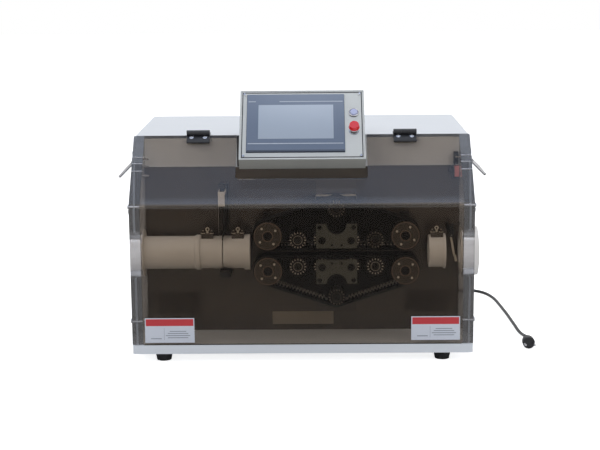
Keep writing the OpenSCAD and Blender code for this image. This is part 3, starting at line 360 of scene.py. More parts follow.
@dataclass
class Form:
    """A mesh in the making, in millimetres, shaped with bmesh operators.

    What is added lies in the form's frame: the machine's own, or one turned and set at an origin.
    """

    turn: Matrix = field(default_factory=lambda: UNTURNED)
    origin: Point = (0, 0, 0)
    mesh: bmesh.types.BMesh = field(default_factory=bmesh.new)

    def frame(self, turn: Matrix, origin: Point) -> "Form":
        """Turns and moves the frame for what is added next."""
        self.turn, self.origin = turn, origin
        return self

    def join(self, part: bmesh.types.BMesh, turn: Matrix = UNTURNED, centre: Point = (0, 0, 0)) -> "Form":
        """Puts a part in the form's frame and adds it to the form.

        Args:
            part: The part, which is freed.
            turn: How it is turned about its own origin first.
            centre: Where that origin goes.

        Returns:
            This form.
        """
        bmesh.ops.rotate(part, cent=(0, 0, 0), matrix=self.turn @ turn, verts=part.verts)
        bmesh.ops.translate(part, vec=Vector(self.origin) + self.turn @ Vector(centre), verts=part.verts)
        bmesh.ops.recalc_face_normals(part, faces=part.faces)
        carried = bpy.data.meshes.new("carried")
        part.to_mesh(carried)
        part.free()
        self.mesh.from_mesh(carried)
        bpy.data.meshes.remove(carried)
        return self

    @staticmethod
    def soften(part: bmesh.types.BMesh, radius: float) -> None:
        """Rounds a part's sharp edges.

        Args:
            part: The part.
            radius: How far they are rounded, or 0 to leave them.
        """
        if not radius:
            return
        edges = [edge for edge in part.edges
                 if len(edge.link_faces) == 2 and edge.calc_face_angle(0) > math.radians(SOFT_DEGREES)]
        bmesh.ops.bevel(part, geom=edges, offset=radius, offset_type="OFFSET", segments=2, profile=0.5,
                        affect="EDGES", material=-1, clamp_overlap=True)

    def block(self, low: Point, high: Point, radius: float = 0.0) -> "Form":
        """Adds a box with rounded edges.

        Args:
            low: Its lowest corner.
            high: Its highest corner.
            radius: How far its edges are rounded.

        Returns:
            This form.
        """
        part = bmesh.new()
        bmesh.ops.create_cube(part, size=1.0)
        low, high = Vector(low), Vector(high)
        bmesh.ops.scale(part, vec=high - low, verts=part.verts)
        bmesh.ops.translate(part, vec=(low + high) / 2, verts=part.verts)
        self.soften(part, radius)
        return self.join(part)

    def disc(self, centre: Point, radius: float, length: float, axis: Axis, sides: int = 40,
             round_mm: float = 0.0) -> "Form":
        """Adds a cylinder on its axis.

        Args:
            centre: The middle of its axis.
            radius: Its radius.
            length: Its length along the axis.
            axis: The way that its axis points.
            sides: The number of its sides.
            round_mm: How far its rims are rounded.

        Returns:
            This form.
        """
        part = bmesh.new()
        bmesh.ops.create_cone(part, cap_ends=True, segments=sides, radius1=radius, radius2=radius,
                              depth=length)
        self.soften(part, round_mm)
        return self.join(part, axis.value, centre)

    def spun(self, outline: Iterable[Pair], centre: Point, sides: int, axis: Axis = Axis.Y) -> "Form":
        """Spins an outline of (radius, height) pairs round an axis.

        Args:
            outline: The outline, which is closed to its first point unless that is on the axis.
            centre: Where height 0 is on the axis.
            sides: The number of steps round.
            axis: The way that the axis points.

        Returns:
            This form.
        """
        part = bmesh.new()
        points = list(outline)
        if points[0][0]:
            points.append(points[0])
        verts = [part.verts.new((radius, 0, height)) for radius, height in points]
        for first, second in zip(verts, verts[1:]):
            part.edges.new((first, second))
        bmesh.ops.spin(part, geom=part.verts[:] + part.edges[:], cent=(0, 0, 0), axis=(0, 0, 1),
                       dvec=(0, 0, 0), angle=math.tau, steps=sides, use_merge=True, use_duplicate=False)
        bmesh.ops.remove_doubles(part, verts=part.verts, dist=0.001)
        bmesh.ops.dissolve_degenerate(part, dist=0.0005, edges=part.edges)
        return self.join(part, axis.value, centre)

    def slab(self, outline: Iterable[Pair], front: float, back: float) -> "Form":
        """Adds a plate cut to an outline of (x, z) points.

        Args:
            outline: The outline.
            front: Its front face's y.
            back: Its back face's y.

        Returns:
            This form.
        """
        part = bmesh.new()
        face = part.faces.new([part.verts.new((x, front, z)) for x, z in outline])
        risen = bmesh.ops.extrude_face_region(part, geom=[face])["geom"]
        bmesh.ops.translate(part, vec=(0, back - front, 0),
                            verts=[item for item in risen if isinstance(item, bmesh.types.BMVert)])
        return self.join(part)

    def cap_screw(self, centre: Point, radius: float, height: float, axis: Axis = Axis.Y,
                  sign: int = -1) -> "Form":
        """Adds a socket head cap screw, its recess made round.

        Args:
            centre: The middle of the face that it stands on.
            radius: Its head's radius.
            height: Its head's height.
            axis: The way that it points.
            sign: 1 where it stands along the axis, -1 where it stands against it.

        Returns:
            This form.
        """
        rim, socket = radius * 0.12, radius * 0.5
        outline = [(0, height * 0.45), (socket, height * 0.45), (socket, height), (radius - rim, height),
                   (radius, height - rim), (radius, -0.2), (0, -0.2)]
        return self.spun([(r, sign * h) for r, h in outline], centre, 18, axis)

    def piece(self, name: str, finish: Finish, slot: str = "", body: str = "root") -> bpy.types.Object:
        """Ends the form as a Blender object that rides on a body.

        Args:
            name: The piece's name.
            finish: Its finish.
            slot: The record's material slot that it stands under; it is not used.
            body: The body that it rides on.

        Returns:
            The object.
        """
        bmesh.ops.scale(self.mesh, vec=(MM, MM, MM), verts=self.mesh.verts)
        bmesh.ops.translate(self.mesh, vec=at(0, 0, 0), verts=self.mesh.verts)
        bmesh.ops.recalc_face_normals(self.mesh, faces=self.mesh.faces)
        mesh = bpy.data.meshes.new(name)
        self.mesh.to_mesh(mesh)
        self.mesh.free()
        mesh.shade_smooth()
        mesh.set_sharp_from_angle(angle=math.radians(SHARP_DEGREES))
        made = stand(name, mesh)
        finish.dress(made)
        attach(made, body)
        log.info("%s on %s", name, body)
        return made


# The power cord

def smooth(t: float, start: float, end: float) -> float:
    """Goes smoothly from 0 at start to 1 at end."""
    part = max(0.0, min(1.0, (t - start) / (end - start)))
    return part * part * (3 - 2 * part)


@dataclass
class PowerCord:
    """The mains lead: it drops from its gland, lies in a coil behind the cabinet and runs to its plug."""

    diameter: float = 7.0
    length: float = 1534.0
    coil_centre: Pair = (340, 569)
    coil_low: float = 3.6
    outer_turn: float = 45.5
    turns: float = 3.25
    step: int = 15
    gland: Point = (300, 501, 60)
    plug_at: Point = (479, 94, 13)
    grips: int = 4
    grip_pitch: float = 4.2
    pin_half: float = 9.5
    pin_r: float = 2.4
    pin_length: float = 19
    drop: tuple[Point, ...] = (
        (300, 501, 60), (300, 505, 60), (299.6, 513.9, 58.6), (298.7, 522, 54.7), (297.3, 528.6, 48.5),
        (295.6, 533, 40.7), (293.8, 535.5, 32), (291.9, 538, 23.3), (290.2, 542.5, 15.5), (288.8, 549, 9.3),
        (287.9, 557.1, 5.4), (287.5, 566, 4), (287.5, 569, 4))
    run: tuple[Point, ...] = (
        (342, 615, 10.6), (352, 615, 11), (364, 616, 10.5), (376, 617.5, 8), (388, 618, 5.3), (399, 617.5, 4),
        (410, 615, 4), (421, 609.5, 4), (431, 601, 4), (440, 589, 4), (448, 572, 4), (455, 547, 4),
        (460, 517, 4), (464, 470, 4), (467, 425, 4), (470, 375, 4), (472, 325, 4), (474, 275, 4),
        (476, 225, 4), (478, 188, 7), (479, 155, 12), (479, 140, 13))

    def coil(self) -> list[Point]:
        """Lays the coil: an outer and an inner turn, an inner turn on it, and an outer quarter on that.

        Returns:
            The points of its centreline.
        """
        points = []
        for turned in range(self.step, int(self.turns * 360), self.step):
            inward = 1 - smooth(turned, 0, 90) - smooth(turned, 270, 360) + smooth(turned, 810, 900)
            radius = self.outer_turn + self.diameter * inward
            angle = math.radians(180 - turned)
            points.append((*polar(self.coil_centre, radius, angle),
                           self.coil_low + self.diameter * smooth(turned, 540, 630)))
        return points

    def build(self) -> None:
        points = [*self.drop, *self.coil(), *self.run]
        curve = bpy.data.curves.new("mains_cord", "CURVE")
        curve.dimensions = "3D"
        curve.resolution_u = 6
        curve.bevel_depth = self.diameter / 2 * MM
        curve.bevel_resolution = 4
        curve.use_fill_caps = True
        line = curve.splines.new("BEZIER")
        line.bezier_points.add(len(points) - 1)
        for knot, point in zip(line.bezier_points, points):
            knot.co = at(*point)
            knot.handle_left_type = knot.handle_right_type = "AUTO"
        lead = stand("mains_cord", curve)
        CORD_PVC.dress(lead)
        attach(lead, "root")
        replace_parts(lead, "power_cord", "cord_coil")
        plug = self.plug()
        self.strain_relief()

    def plug(self) -> bpy.types.Object:
        """Makes the moulded plug with its grip ribs and its two round pins.

        Returns:
            The plug, which stands for its CAD node.
        """
        form = Form().spun([(0, 46), (5.2, 46), (5.6, 43), (6.2, 38), (7.5, 30), (8.4, 26), (11.6, 22),
                            (12.6, 18), (13, 12), (13, 2), (12.2, 0), (0, 0)], self.plug_at, 40)
        x, y, z = self.plug_at
        for ring in range(self.grips):
            radius = 6.4 + ring * 0.35
            form.spun([(0, -1.2), (radius, -1.2), (radius + 0.5, 0), (radius, 1.2), (0, 1.2)],
                      (x, y + 42 - ring * self.grip_pitch, z), 32)
        plug = form.piece("plug_body", CORD_PVC, "cord_pvc")
        pins = Form()
        for side in (-1, 1):
            pins.disc((x + side * self.pin_half, y + 1 - self.pin_length / 2, z), self.pin_r, self.pin_length,
                      Axis.Y, sides=24, round_mm=0.9)
        metal = pins.piece("plug_pins", BRIGHT_STEEL, "bright_steel")
        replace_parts(plug, "mains_plug")
        metal.parent = plug
        return plug

    def strain_relief(self) -> None:
        """Makes the ribbed rubber sleeve that leads the cord out of its gland."""
        inner = self.diameter / 2 - 0.3
        outline = [(inner, -8), (6.2, -8)]
        for ring in range(3):
            y, radius = ring * 3.6, 5.8 - ring * 0.4
            outline += [(radius, y - 1.8), (radius, y), (radius - 0.9, y + 0.3), (radius - 0.9, y + 1.4)]
        outline += [(4.1, 10), (inner, 10)]
        x, y, z = self.gland
        Form().spun(outline, (x, y + 2, z), 28).piece("gland_sleeve", BLACK_NYLON, "black_nylon")


# The display on its neck

TILT = Matrix.Rotation(math.radians(-43.3), 3, "X")
# Satin glass of the touch screen, with the display switched off.
SCREEN = Finish("touch_screen_glass", "a9b6c8", "a5b2c4", 0.4, 0.03, grain_mm=30, height_mm=0.0)
# Silk-screened pale lines on the bezel.
BEZEL_LINE = Finish("silk_screened_grey", "b9c2d0", "b3bcca", 0.5, height_mm=0.004)
# Dark moulded edge round the touch panel, and a dark bar along its lower edge that is painted shade.
BEZEL_EDGE_AND_SHADE = Finish("dark_bezel_edge_and_shade", "333b4c", "2f3746", 0.45)
# Dark blue translucent ring round the start button's lens.
HALO_BLUE = Finish("blue_halo_plastic", "3f4b93", "39448a", 0.3, height_mm=0.004)
# Foam gasket round the face plate, seen as a dark line; the same dark finish makes a strip beside the
# display's neck that is a painted shadow.
GASKET_AND_SHADOW = Finish("dark_gasket_and_shadow", "3b3b3d", "343436", 0.8, height_mm=0.05)


@dataclass
class Display:
    """The tilted display: its screen, printed lines, gasket, screws and button fittings."""

    centre: tuple[float, float, float] = (1.7, 78, 484)
    panel_at: Pair = (-13.4, 3.5)
    panel_size: Pair = (200.4, 144.2)
    panel_drop: float = 1.8
    face_front: float = -5.5
    screen_low: Pair = (-76.4, -43.6)
    screen_high: Pair = (77.6, 42.4)
    plate_half: Pair = (124, 83)
    button_x: float = 106.1
    start_up: float = 28.3
    stop_up: float = -16.4
    screw_in: float = 4.6
    seal: Pair = (0.45, 1.6)
    seal_width: float = 2
    # A dark strip on the fascia beside the display's left side: a painted shadow.
    shadow_strip: Box = ((-135.2, 119.4, 391), (-128, 121.9, 456), 0.3)

    def face(self) -> Form:
        """Starts a form in the face's own directions: across, inward and up."""
        return Form(TILT, self.centre)

    def build(self) -> None:
        """Makes the display's fine pieces."""
        cx, cz = self.panel_at
        self.touch_panel()
        (left, low), (right, high) = self.screen_low, self.screen_high
        glass = self.face().block((cx + left, self.face_front - 0.06, cz + low),
                                  (cx + right, self.face_front + 1, cz + high), 0.05)
        glass.piece("screen_glass", SCREEN, "panel_grey")
        lines = self.face()
        half_w = self.panel_size[0] / 2 - 3
        front, back = self.face_front - 0.12, self.face_front + 0.6
        for low, high, up in ((-half_w, -half_w + 15, 50), (-half_w + 64, half_w, 50),
                              (-half_w, half_w, -56.5)):
            lines.block((cx + low, front, cz + up), (cx + high, back, cz + up + 2))
        lines.piece("bezel_lines", BEZEL_LINE, "panel_grey")
        # Dark strip beside the display's neck: painted shadow.
        Form().block(*self.shadow_strip).piece("display_shadow_strip", GASKET_AND_SHADOW, "black_nylon")
        seal = self.face()
        (x, z), (front, back) = self.plate_half, self.seal
        for side in (-1, 1):
            low, high = sorted((side * x, side * (x - self.seal_width)))
            seal.block((low, front, -z), (high, back, z))
            low, high = sorted((side * z, side * (z - self.seal_width)))
            seal.block((-x, front, low), (x, back, high))
        seal.piece("face_gasket", GASKET_AND_SHADOW, "black_nylon")
        self.fittings()

    def touch_panel(self) -> None:
        """Makes the touch panel's body, its dark moulded edge with a dark bar of painted shade along the
        bottom, and the plate's strip above it.
        """
        (cx, cz), (width, height), front = self.panel_at, self.panel_size, self.face_front
        left, right, low = cx - width / 2, cx + width / 2, cz - self.panel_drop - height / 2
        high = low + height
        panel = self.face().block((left, front, low), (right, 0.6, high), 1.3)
        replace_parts(panel.piece("touch_panel_body", PANEL_GREY, "panel_grey"), "touch_panel")
        rim = self.face().block((left - 0.5, front + 0.9, low - 1.2), (right + 0.5, 0.1, high + 0.4), 0.9)
        # A dark bar along the panel's lower edge: painted shade.
        rim.block((left + 1.5, front - 0.04, low + 0.7), (right - 1.5, front + 0.8, low + 2.4), 0.1)
        rim.piece("touch_panel_edge_and_shade", BEZEL_EDGE_AND_SHADE, "panel_grey")
        strip = self.face().block((left - 1, -0.05, high - 1), (right + 1, 0.5, high + self.panel_drop + 0.6))
        strip.piece("face_plate_strip", BOX_STAINLESS, "stainless")

    def fittings(self) -> None:
        """Makes the corner screws and the rings round the two buttons."""
        screws = self.face()
        for side in (-1, 1):
            for level in (-1, 1):
                screws.cap_screw((side * (self.plate_half[0] - self.screw_in), 0.6,
                                  level * (self.plate_half[1] - self.screw_in)), 2.6, 1.7)
        screws.piece("face_screws", BRIGHT_STEEL, "bright_steel")
        for name, finish, up, outline in (
                ("start_ring", BRIGHT_STEEL, self.start_up,
                 [(8.3, 0.6), (8.3, -2.9), (9.2, -3.3), (10.1, -2.9), (10.6, -2.2), (10.6, 0.6)]),
                ("start_halo", HALO_BLUE, self.start_up, [(7.5, 0.2), (7.5, -3), (8.5, -3), (8.5, 0.2)]),
                ("stop_collar", BRIGHT_STEEL, self.stop_up,
                 [(6.3, 0.5), (6.3, -8.4), (8.6, -8.4), (9.6, -7.4), (9.6, -5.8), (9.0, -5.2), (9.6, -4.6),
                  (9.6, -1.2), (11.0, -0.9), (11.0, 0.5)])):
            self.face().spun(outline, (self.button_x, 0, up), 40).piece(name, finish, "bright_steel")


# The hood's trim

# White vinyl of the two label plates, satin laminated.
LABEL_WHITE = Finish("white_label_vinyl", "d6dbe6", "d0d6e2", 0.4, height_mm=0.003)
# Red band printed along the top of each label.
LABEL_RED = Finish("red_label_ink", "c8353d", "bf3038", 0.4, height_mm=0.003)
# Rubber strip that the hood's lower edge comes down on.
HOOD_SEAL = Finish("hood_seal_rubber", "141416", "1a1a1c", 0.7, height_mm=0.03)
# Grey ruled lines and boxes printed under the band.
LABEL_GREY = Finish("grey_label_ink", "7e8592", "777e8b", 0.45, height_mm=0.003)


@dataclass
class HoodTrim:
    """What goes with the hood: its labels and seal, its panels' screws, its hinges' leaves and screws."""

    labels: tuple[tuple[float, float, float, float], ...] = ((-323.6, 44, -222, 96), (222.6, 47, 322.4, 97))
    band: float = 16.5
    seal: Box = ((-326, 0.9, 38.6), (326, 4.2, 39.8), 0.4)
    hinge_x: float = 215
    screws: tuple[Pair, ...] = ((10, 326), (10, 88), (106, 409), (106, 393), (106, 374))
    side_x: float = 350
    leaf_top: Pair = (122, 457)
    leaf_length: float = 20.5
    leaf_screw: Pair = (113.23, 453.64)
    top_screw: Pair = (136, 461.2)
    leaf_half: float = 24
    pin: Pair = (118, 463)
    rib_pitch: float = 4.2
    slope: Matrix = field(default_factory=lambda: Matrix.Rotation(math.radians(46.15), 3, "X"))

    def label(self, name: str, box: tuple[float, float, float, float]) -> None:
        """Makes one plain label: white, with a red band and ruled lines, and nothing written on it.

        Args:
            name: The label's name.
            box: Its left, lower, right and upper edges.
        """
        left, low, right, high = box
        printed = -0.3
        plate = Form().block((left, -0.35, low), (right, 0.02, high), 0.15)
        plate.piece(name + "_plate", LABEL_WHITE, body="hood")
        band = Form().block((left + 2, -0.5, high - self.band), (right - 2, printed, high - 2))
        band.piece(name + "_band", LABEL_RED, body="hood")
        rules = Form()
        middle = left + 0.4 * (right - left)
        for indent, row, width in ((6, 10, 42), (2, 14.5, 50), (6, 19, 42), (10, 23.5, 34)):
            rules.block((middle + indent, -0.45, low + row),
                        (middle + indent + width, printed, low + row + 1.3))
        rules.block((left + 12, -0.45, low + 8), (left + 34, printed, low + 9.5))
        rules.block((middle - 1.5, -0.45, low + 6), (middle - 1, printed, high - self.band - 4))
        rules.piece(name + "_rules", LABEL_GREY, body="hood")

    def build(self) -> None:
        """Makes the hood's trim."""
        for name, box in zip(("left_label", "right_label"), self.labels):
            self.label(name, box)
        Form().block(*self.seal).piece("hood_seal", HOOD_SEAL, "black_nylon")
        shafts = Form()
        for side in (-1, 1):
            for y, z in self.screws:
                shafts.disc((side * (self.side_x - 15), y, z), 2.1, 32, Axis.X, sides=16)
                shafts.cap_screw((side * (self.side_x + 1.2), y, z), 4.4, 2.2, Axis.X, side)
        shafts.piece("panel_screws", BRIGHT_STEEL, "bright_steel", "hood")
        self.hinge_leaves()
        self.hinge_screws()

    def hinge_leaves(self) -> None:
        """Makes the hinges' hood leaves with their outer knuckles and the ribs along their lower edges."""
        leaves = Form()
        half, end = self.leaf_half, -self.leaf_length
        for side in (-1, 1):
            top = (side * self.hinge_x, *self.leaf_top)
            leaves.frame(self.slope, top).block((-half, end, 0), (half, -2, 4), 0.7)
            for rib in range(-5, 6):
                across = rib * self.rib_pitch
                leaves.block((across - 1.1, end - 1.6, 0.1), (across + 1.1, end + 0.5, 3.3), 0.3)
            leaves.frame(UNTURNED, (top[0], *self.pin))
            for start in (-half, 8.2):
                leaves.spun([(2.7, 0), (5, 0), (5.5, 0.5), (5.5, 15.3), (5, 15.8), (2.7, 15.8)],
                            (start, 0, 0), 32, Axis.X)
        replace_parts(leaves.piece("hinge_ribbed_leaves", BLACK_NYLON, "black_nylon", "hood"),
                    "hinge_hood_leaves")

    def hinge_screws(self) -> None:
        """Makes the four screws of each hinge: two in its hood leaf and two in its fixed leaf."""
        for name, body, turn, spot in (("hood", "hood", self.slope, self.leaf_screw),
                                       ("fixed", "root", UNTURNED, self.top_screw)):
            form = Form()
            for side in (-1, 1):
                for across in (-14, 14):
                    form.frame(turn, (side * self.hinge_x + across, *spot)).spun(
                        [(0, 0.5), (1.4, 0.5), (2.2, 1.5), (4.3, 1.1), (4.6, 0.2), (4.6, -0.3), (0, -0.3)],
                        (0, 0, 0), 24, Axis.Z)
            form.piece(f"hinge_{name}_screws", BRIGHT_STEEL, "bright_steel", body)


# The feed unit's fine pieces

@dataclass
class FeedTrim:
    """What shows on the belt units: end discs, bushes, screws, teeth, the belts' fabric and slot covers."""

    middle_x: float = 71
    nip_z: float = 219.5
    disc_front: float = 46
    units: tuple[tuple[str, int, float], ...] = (("upper", 1, 144), ("lower", -1, 140))
    idlers: tuple[tuple[str, float, float], ...] = (
        ("idler_left", -80, 28), ("idler_right", 80, 28), ("inner_idler_left", -30, 28),
        ("inner_idler_right", 30, 28), ("drive_pulley", 0, 93))
    end_x: float = 142
    end_up: float = 37
    end_r: float = 27
    end_teeth: int = 24
    drive_up: float = 93
    small_r: float = 18
    small_teeth: int = 16
    tooth: float = 4
    belt_in: float = 0.4
    belt: Pair = (54, 94)
    cloth: float = 0.2
    cloth_in: float = 19
    flats: tuple[Pair, ...] = ((-130, -94), (-66, -44), (44, 66), (94, 130))
    sunk: tuple[tuple[float, ...], ...] = (
        (35, 55.5, 4.4, 46.2), (30, 28, 6.6, 46.2), (10, 19.2, 2.3, 40.2))
    cover_half: float = 42
    cover_y: Pair = (118, 120.4)
    web: tuple[Pair, ...] = (
        (-150, 17), (150, 17), (162, 37), (150, 57), (12, 104), (-12, 104), (-150, 57), (-162, 37))
    # Outline of a pale strip along the frame block's top edge: a painted highlight.
    edge: tuple[Pair, ...] = (
        (-42.3, 105), (-42.3, 109.6), (-41, 110.9), (41, 110.9), (42.3, 109.6), (42.3, 105), (41.8, 105),
        (41.8, 109.4), (40.7, 110.3), (-40.7, 110.3), (-41.8, 109.4), (-41.8, 105))
    screw_r: float = 20
    screw_angles: dict[str, float] = field(default_factory=lambda: dict(
        upper_left=37, upper_right=63, lower_left=49, lower_right=42))

    def spot(self, side: int, across: float, up: float) -> Pair:
        """The machine x and z of a point given from the nip of one unit."""
        return self.middle_x + across, self.nip_z + side * up

    def end_pulley(self, unit: str, side: int, hand: str) -> None:
        """Makes an end pulley's toothed drum with its front disc, its bush and its four screws.

        Args:
            unit: The belt unit, upper or lower.
            side: 1 for the upper unit, -1 for the lower one.
            hand: The end that it is at, left or right.
        """
        spot = self.spot(side, self.end_x if hand == "right" else -self.end_x, self.end_up)
        face = (spot[0], self.disc_front, spot[1])
        name = f"{unit}_end_pulley_{hand}"
        tip = self.end_r - self.belt_in - 0.3
        root = tip - self.tooth
        step = math.tau / self.end_teeth
        outline = [polar(spot, radius, (tooth + share) * step) for tooth in range(self.end_teeth)
                   for share, radius in ((-0.34, root), (-0.14, tip), (0.14, tip), (0.34, root))]
        drum = Form().slab(outline, self.disc_front + 3.9, self.belt[1] + 1)
        drum.spun([(10.6, 4), (10.6, 0.5), (27.6, 0), (28.5, 0.25), (28.8, 0.8), (28.8, 3.6), (28.4, 4)],
                  face, 64)
        bush = Form().spun([(9.4, 3), (9.4, 0.6), (9.9, -0.3), (11.3, -0.3), (12, 0.2), (10.6, 3)], face, 40)
        bush.spun([(26.6, 0.5), (26.8, -0.2), (28.6, -0.2), (28.95, 0.1), (28.9, 0.7), (26.6, 0.7)], face, 64)
        shaft = Form().spun([(0, 1), (4.4, 1), (5, 0.5), (9.1, 0.5), (9.1, 1.6), (0, 1.6)], face, 40)
        screws = Form()
        for quarter in range(4):
            x, z = polar(spot, self.screw_r, math.radians(self.screw_angles[f"{unit}_{hand}"] + 90 * quarter))
            screws.cap_screw((x, self.disc_front + 0.1, z), 2.4, 1.5)
        for form, part, finish, slot in ((drum, "drum", OILED_STEEL, "aluminium_plate"),
                                         (bush, "bush", BUSH_BRONZE, "aluminium_plate"),
                                         (shaft, "shaft_end", BELT_RUBBER, "aluminium_plate"),
                                         (screws, "screws", PALE_WEAR_AND_HIGHLIGHT_STEEL, "bright_steel")):
            made = form.piece(f"{name}_{part}", finish, slot, name + "_body")
            if form is drum:
                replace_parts(made, name)

    def idler(self, unit: str, side: int, part: str, across: float, up: float) -> None:
        """Makes the worn fronts of a toothed idler's teeth and the ring round its bearing.

        Args:
            unit: The belt unit, upper or lower.
            side: 1 for the upper unit, -1 for the lower one.
            part: The idler's name.
            across: How far it is to the right of the unit's middle.
            up: How far it is from the nip.
        """
        spot = self.spot(side, across, up)
        name = f"{unit}_{part}"
        front = self.disc_front + 3.75
        tip = self.small_r - self.belt_in - 0.35
        low = tip - self.tooth + 0.45
        step = math.tau / self.small_teeth
        fronts = Form()
        for tooth in range(self.small_teeth):
            ends = ((low, -0.17), (tip, -0.09), (tip, 0.09), (low, 0.17))
            fronts.slab([polar(spot, radius, (tooth + share) * step) for radius, share in ends],
                        front, front + 0.5)
        # The drive pulleys and the upper right idler take darker tooth fronts and races than the others:
        # painted shade.
        painted_shade = part == "drive_pulley" or name == "upper_idler_right"
        fronts.piece(name + "_tooth_fronts", VARNISHED_PLATE if painted_shade else PALE_WEAR_AND_HIGHLIGHT_STEEL, "bright_steel",
                     name + "_body")
        race = Form().spun([(8.4, 0.4), (8.4, -0.2), (9.8, -0.2), (9.8, 0.4)], (spot[0], front, spot[1]), 36)
        race.piece(name + "_race", OILED_STEEL if painted_shade else VARNISHED_PLATE, "bright_steel", name + "_body")

    def belt_lining(self, unit: str, side: int) -> None:
        """Makes the grey fabric on the inner side of one belt's free runs, over its teeth.

        Args:
            unit: The belt unit, upper or lower.
            side: 1 for the upper unit, -1 for the lower one.
        """
        rise = self.drive_up - self.end_up
        run = math.hypot(self.end_x, rise)
        lean = math.atan2(rise, -self.end_x) - math.acos((self.end_r - self.small_r) / run)
        inner = self.end_r - self.belt_in
        start = Vector((self.end_x + inner * math.cos(lean), self.end_up + inner * math.sin(lean)))
        along = Vector((-math.sin(lean), math.cos(lean)))
        inward = Vector((-math.cos(lean), -math.sin(lean)))
        pitch = math.tau * self.end_r / self.end_teeth
        lining = Form()
        spans = [(2 * pitch, run - 2 * pitch, self.cloth)]
        spans += [(number * pitch - 0.15, (number + 0.5) * pitch + 0.15, self.tooth)
                  for number in range(3, 19)]
        for hand in (-1, 1):
            for low, high, height in spans:
                corners = [start + along * place + inward * deep for place, deep in
                           ((low, 0.0), (high, 0.0), (high, height), (low, height))]
                lining.slab([self.spot(side, hand * corner.x, corner.y) for corner in corners],
                            self.belt[0] + self.cloth_in, self.belt[1] + 0.1)
        level = self.end_up - inner
        for low, high in self.flats:
            corners = ((low, level), (high, level), (high, level + self.cloth), (low, level + self.cloth))
            lining.slab([self.spot(side, *corner) for corner in corners], self.belt[1] - 14, self.belt[1])
        lining.piece(f"{unit}_belt_lining", BELT_FABRIC, "belt_rubber", f"{unit}_carriage")

    def plates(self, unit: str, side: int, cover_up: float) -> None:
        """Makes what lies flat on one carriage: its plate's screws, slot cover, web, and a pale strip on its
        frame's top edge that is a painted highlight.

        Args:
            unit: The belt unit, upper or lower.
            side: 1 for the upper unit, -1 for the lower one.
            cover_up: How far its slot cover reaches from the nip.
        """
        sunk = Form()
        for corner in (-1, 1):
            for across, up, radius, y in self.sunk:
                x, z = self.spot(side, corner * across, up)
                sunk.cap_screw((x, y, z), radius, 1.5)
        low, high = sorted(self.spot(side, 0, up)[1] for up in (self.drive_up - 33, cover_up))
        cover = Form().block((self.middle_x - self.cover_half, self.cover_y[0], low),
                             (self.middle_x + self.cover_half, self.cover_y[1], high), 0.4)
        back = self.belt[1]
        web = Form().slab([self.spot(side, *corner) for corner in self.web], back + 2.2, back + 4)
        # The pale strip on the frame block's top edge is a painted highlight.
        edge = Form().slab([self.spot(side, *corner) for corner in self.edge], back + 2.5, back + 22)
        for form, name, finish, slot in ((sunk, "plate_screws", BLACK_OXIDE, "aluminium_plate"),
                                         (cover, "slot_cover", DARK_ENAMEL, "dark_enamel"),
                                         (web, "carriage_web", FRAME_BLACK, "dark_enamel"),
                                         (edge, "frame_painted_highlight", PALE_WEAR_AND_HIGHLIGHT_STEEL, "dark_enamel")):
            form.piece(f"{unit}_{name}", finish, slot, f"{unit}_carriage")

    def build(self) -> None:
        """Makes the feed units' fine pieces."""
        for unit, side, cover_up in self.units:
            for hand in ("left", "right"):
                self.end_pulley(unit, side, hand)
            for part, across, up in self.idlers:
                self.idler(unit, side, part, across, up)
            self.belt_lining(unit, side)
            self.plates(unit, side, cover_up)


# The tube path's fine pieces

# Translucent red acetal of the door switch's key.
RED_KEY = Finish("red_key_acetal", "d98482", "cf7a79", 0.35, height_mm=0.004)


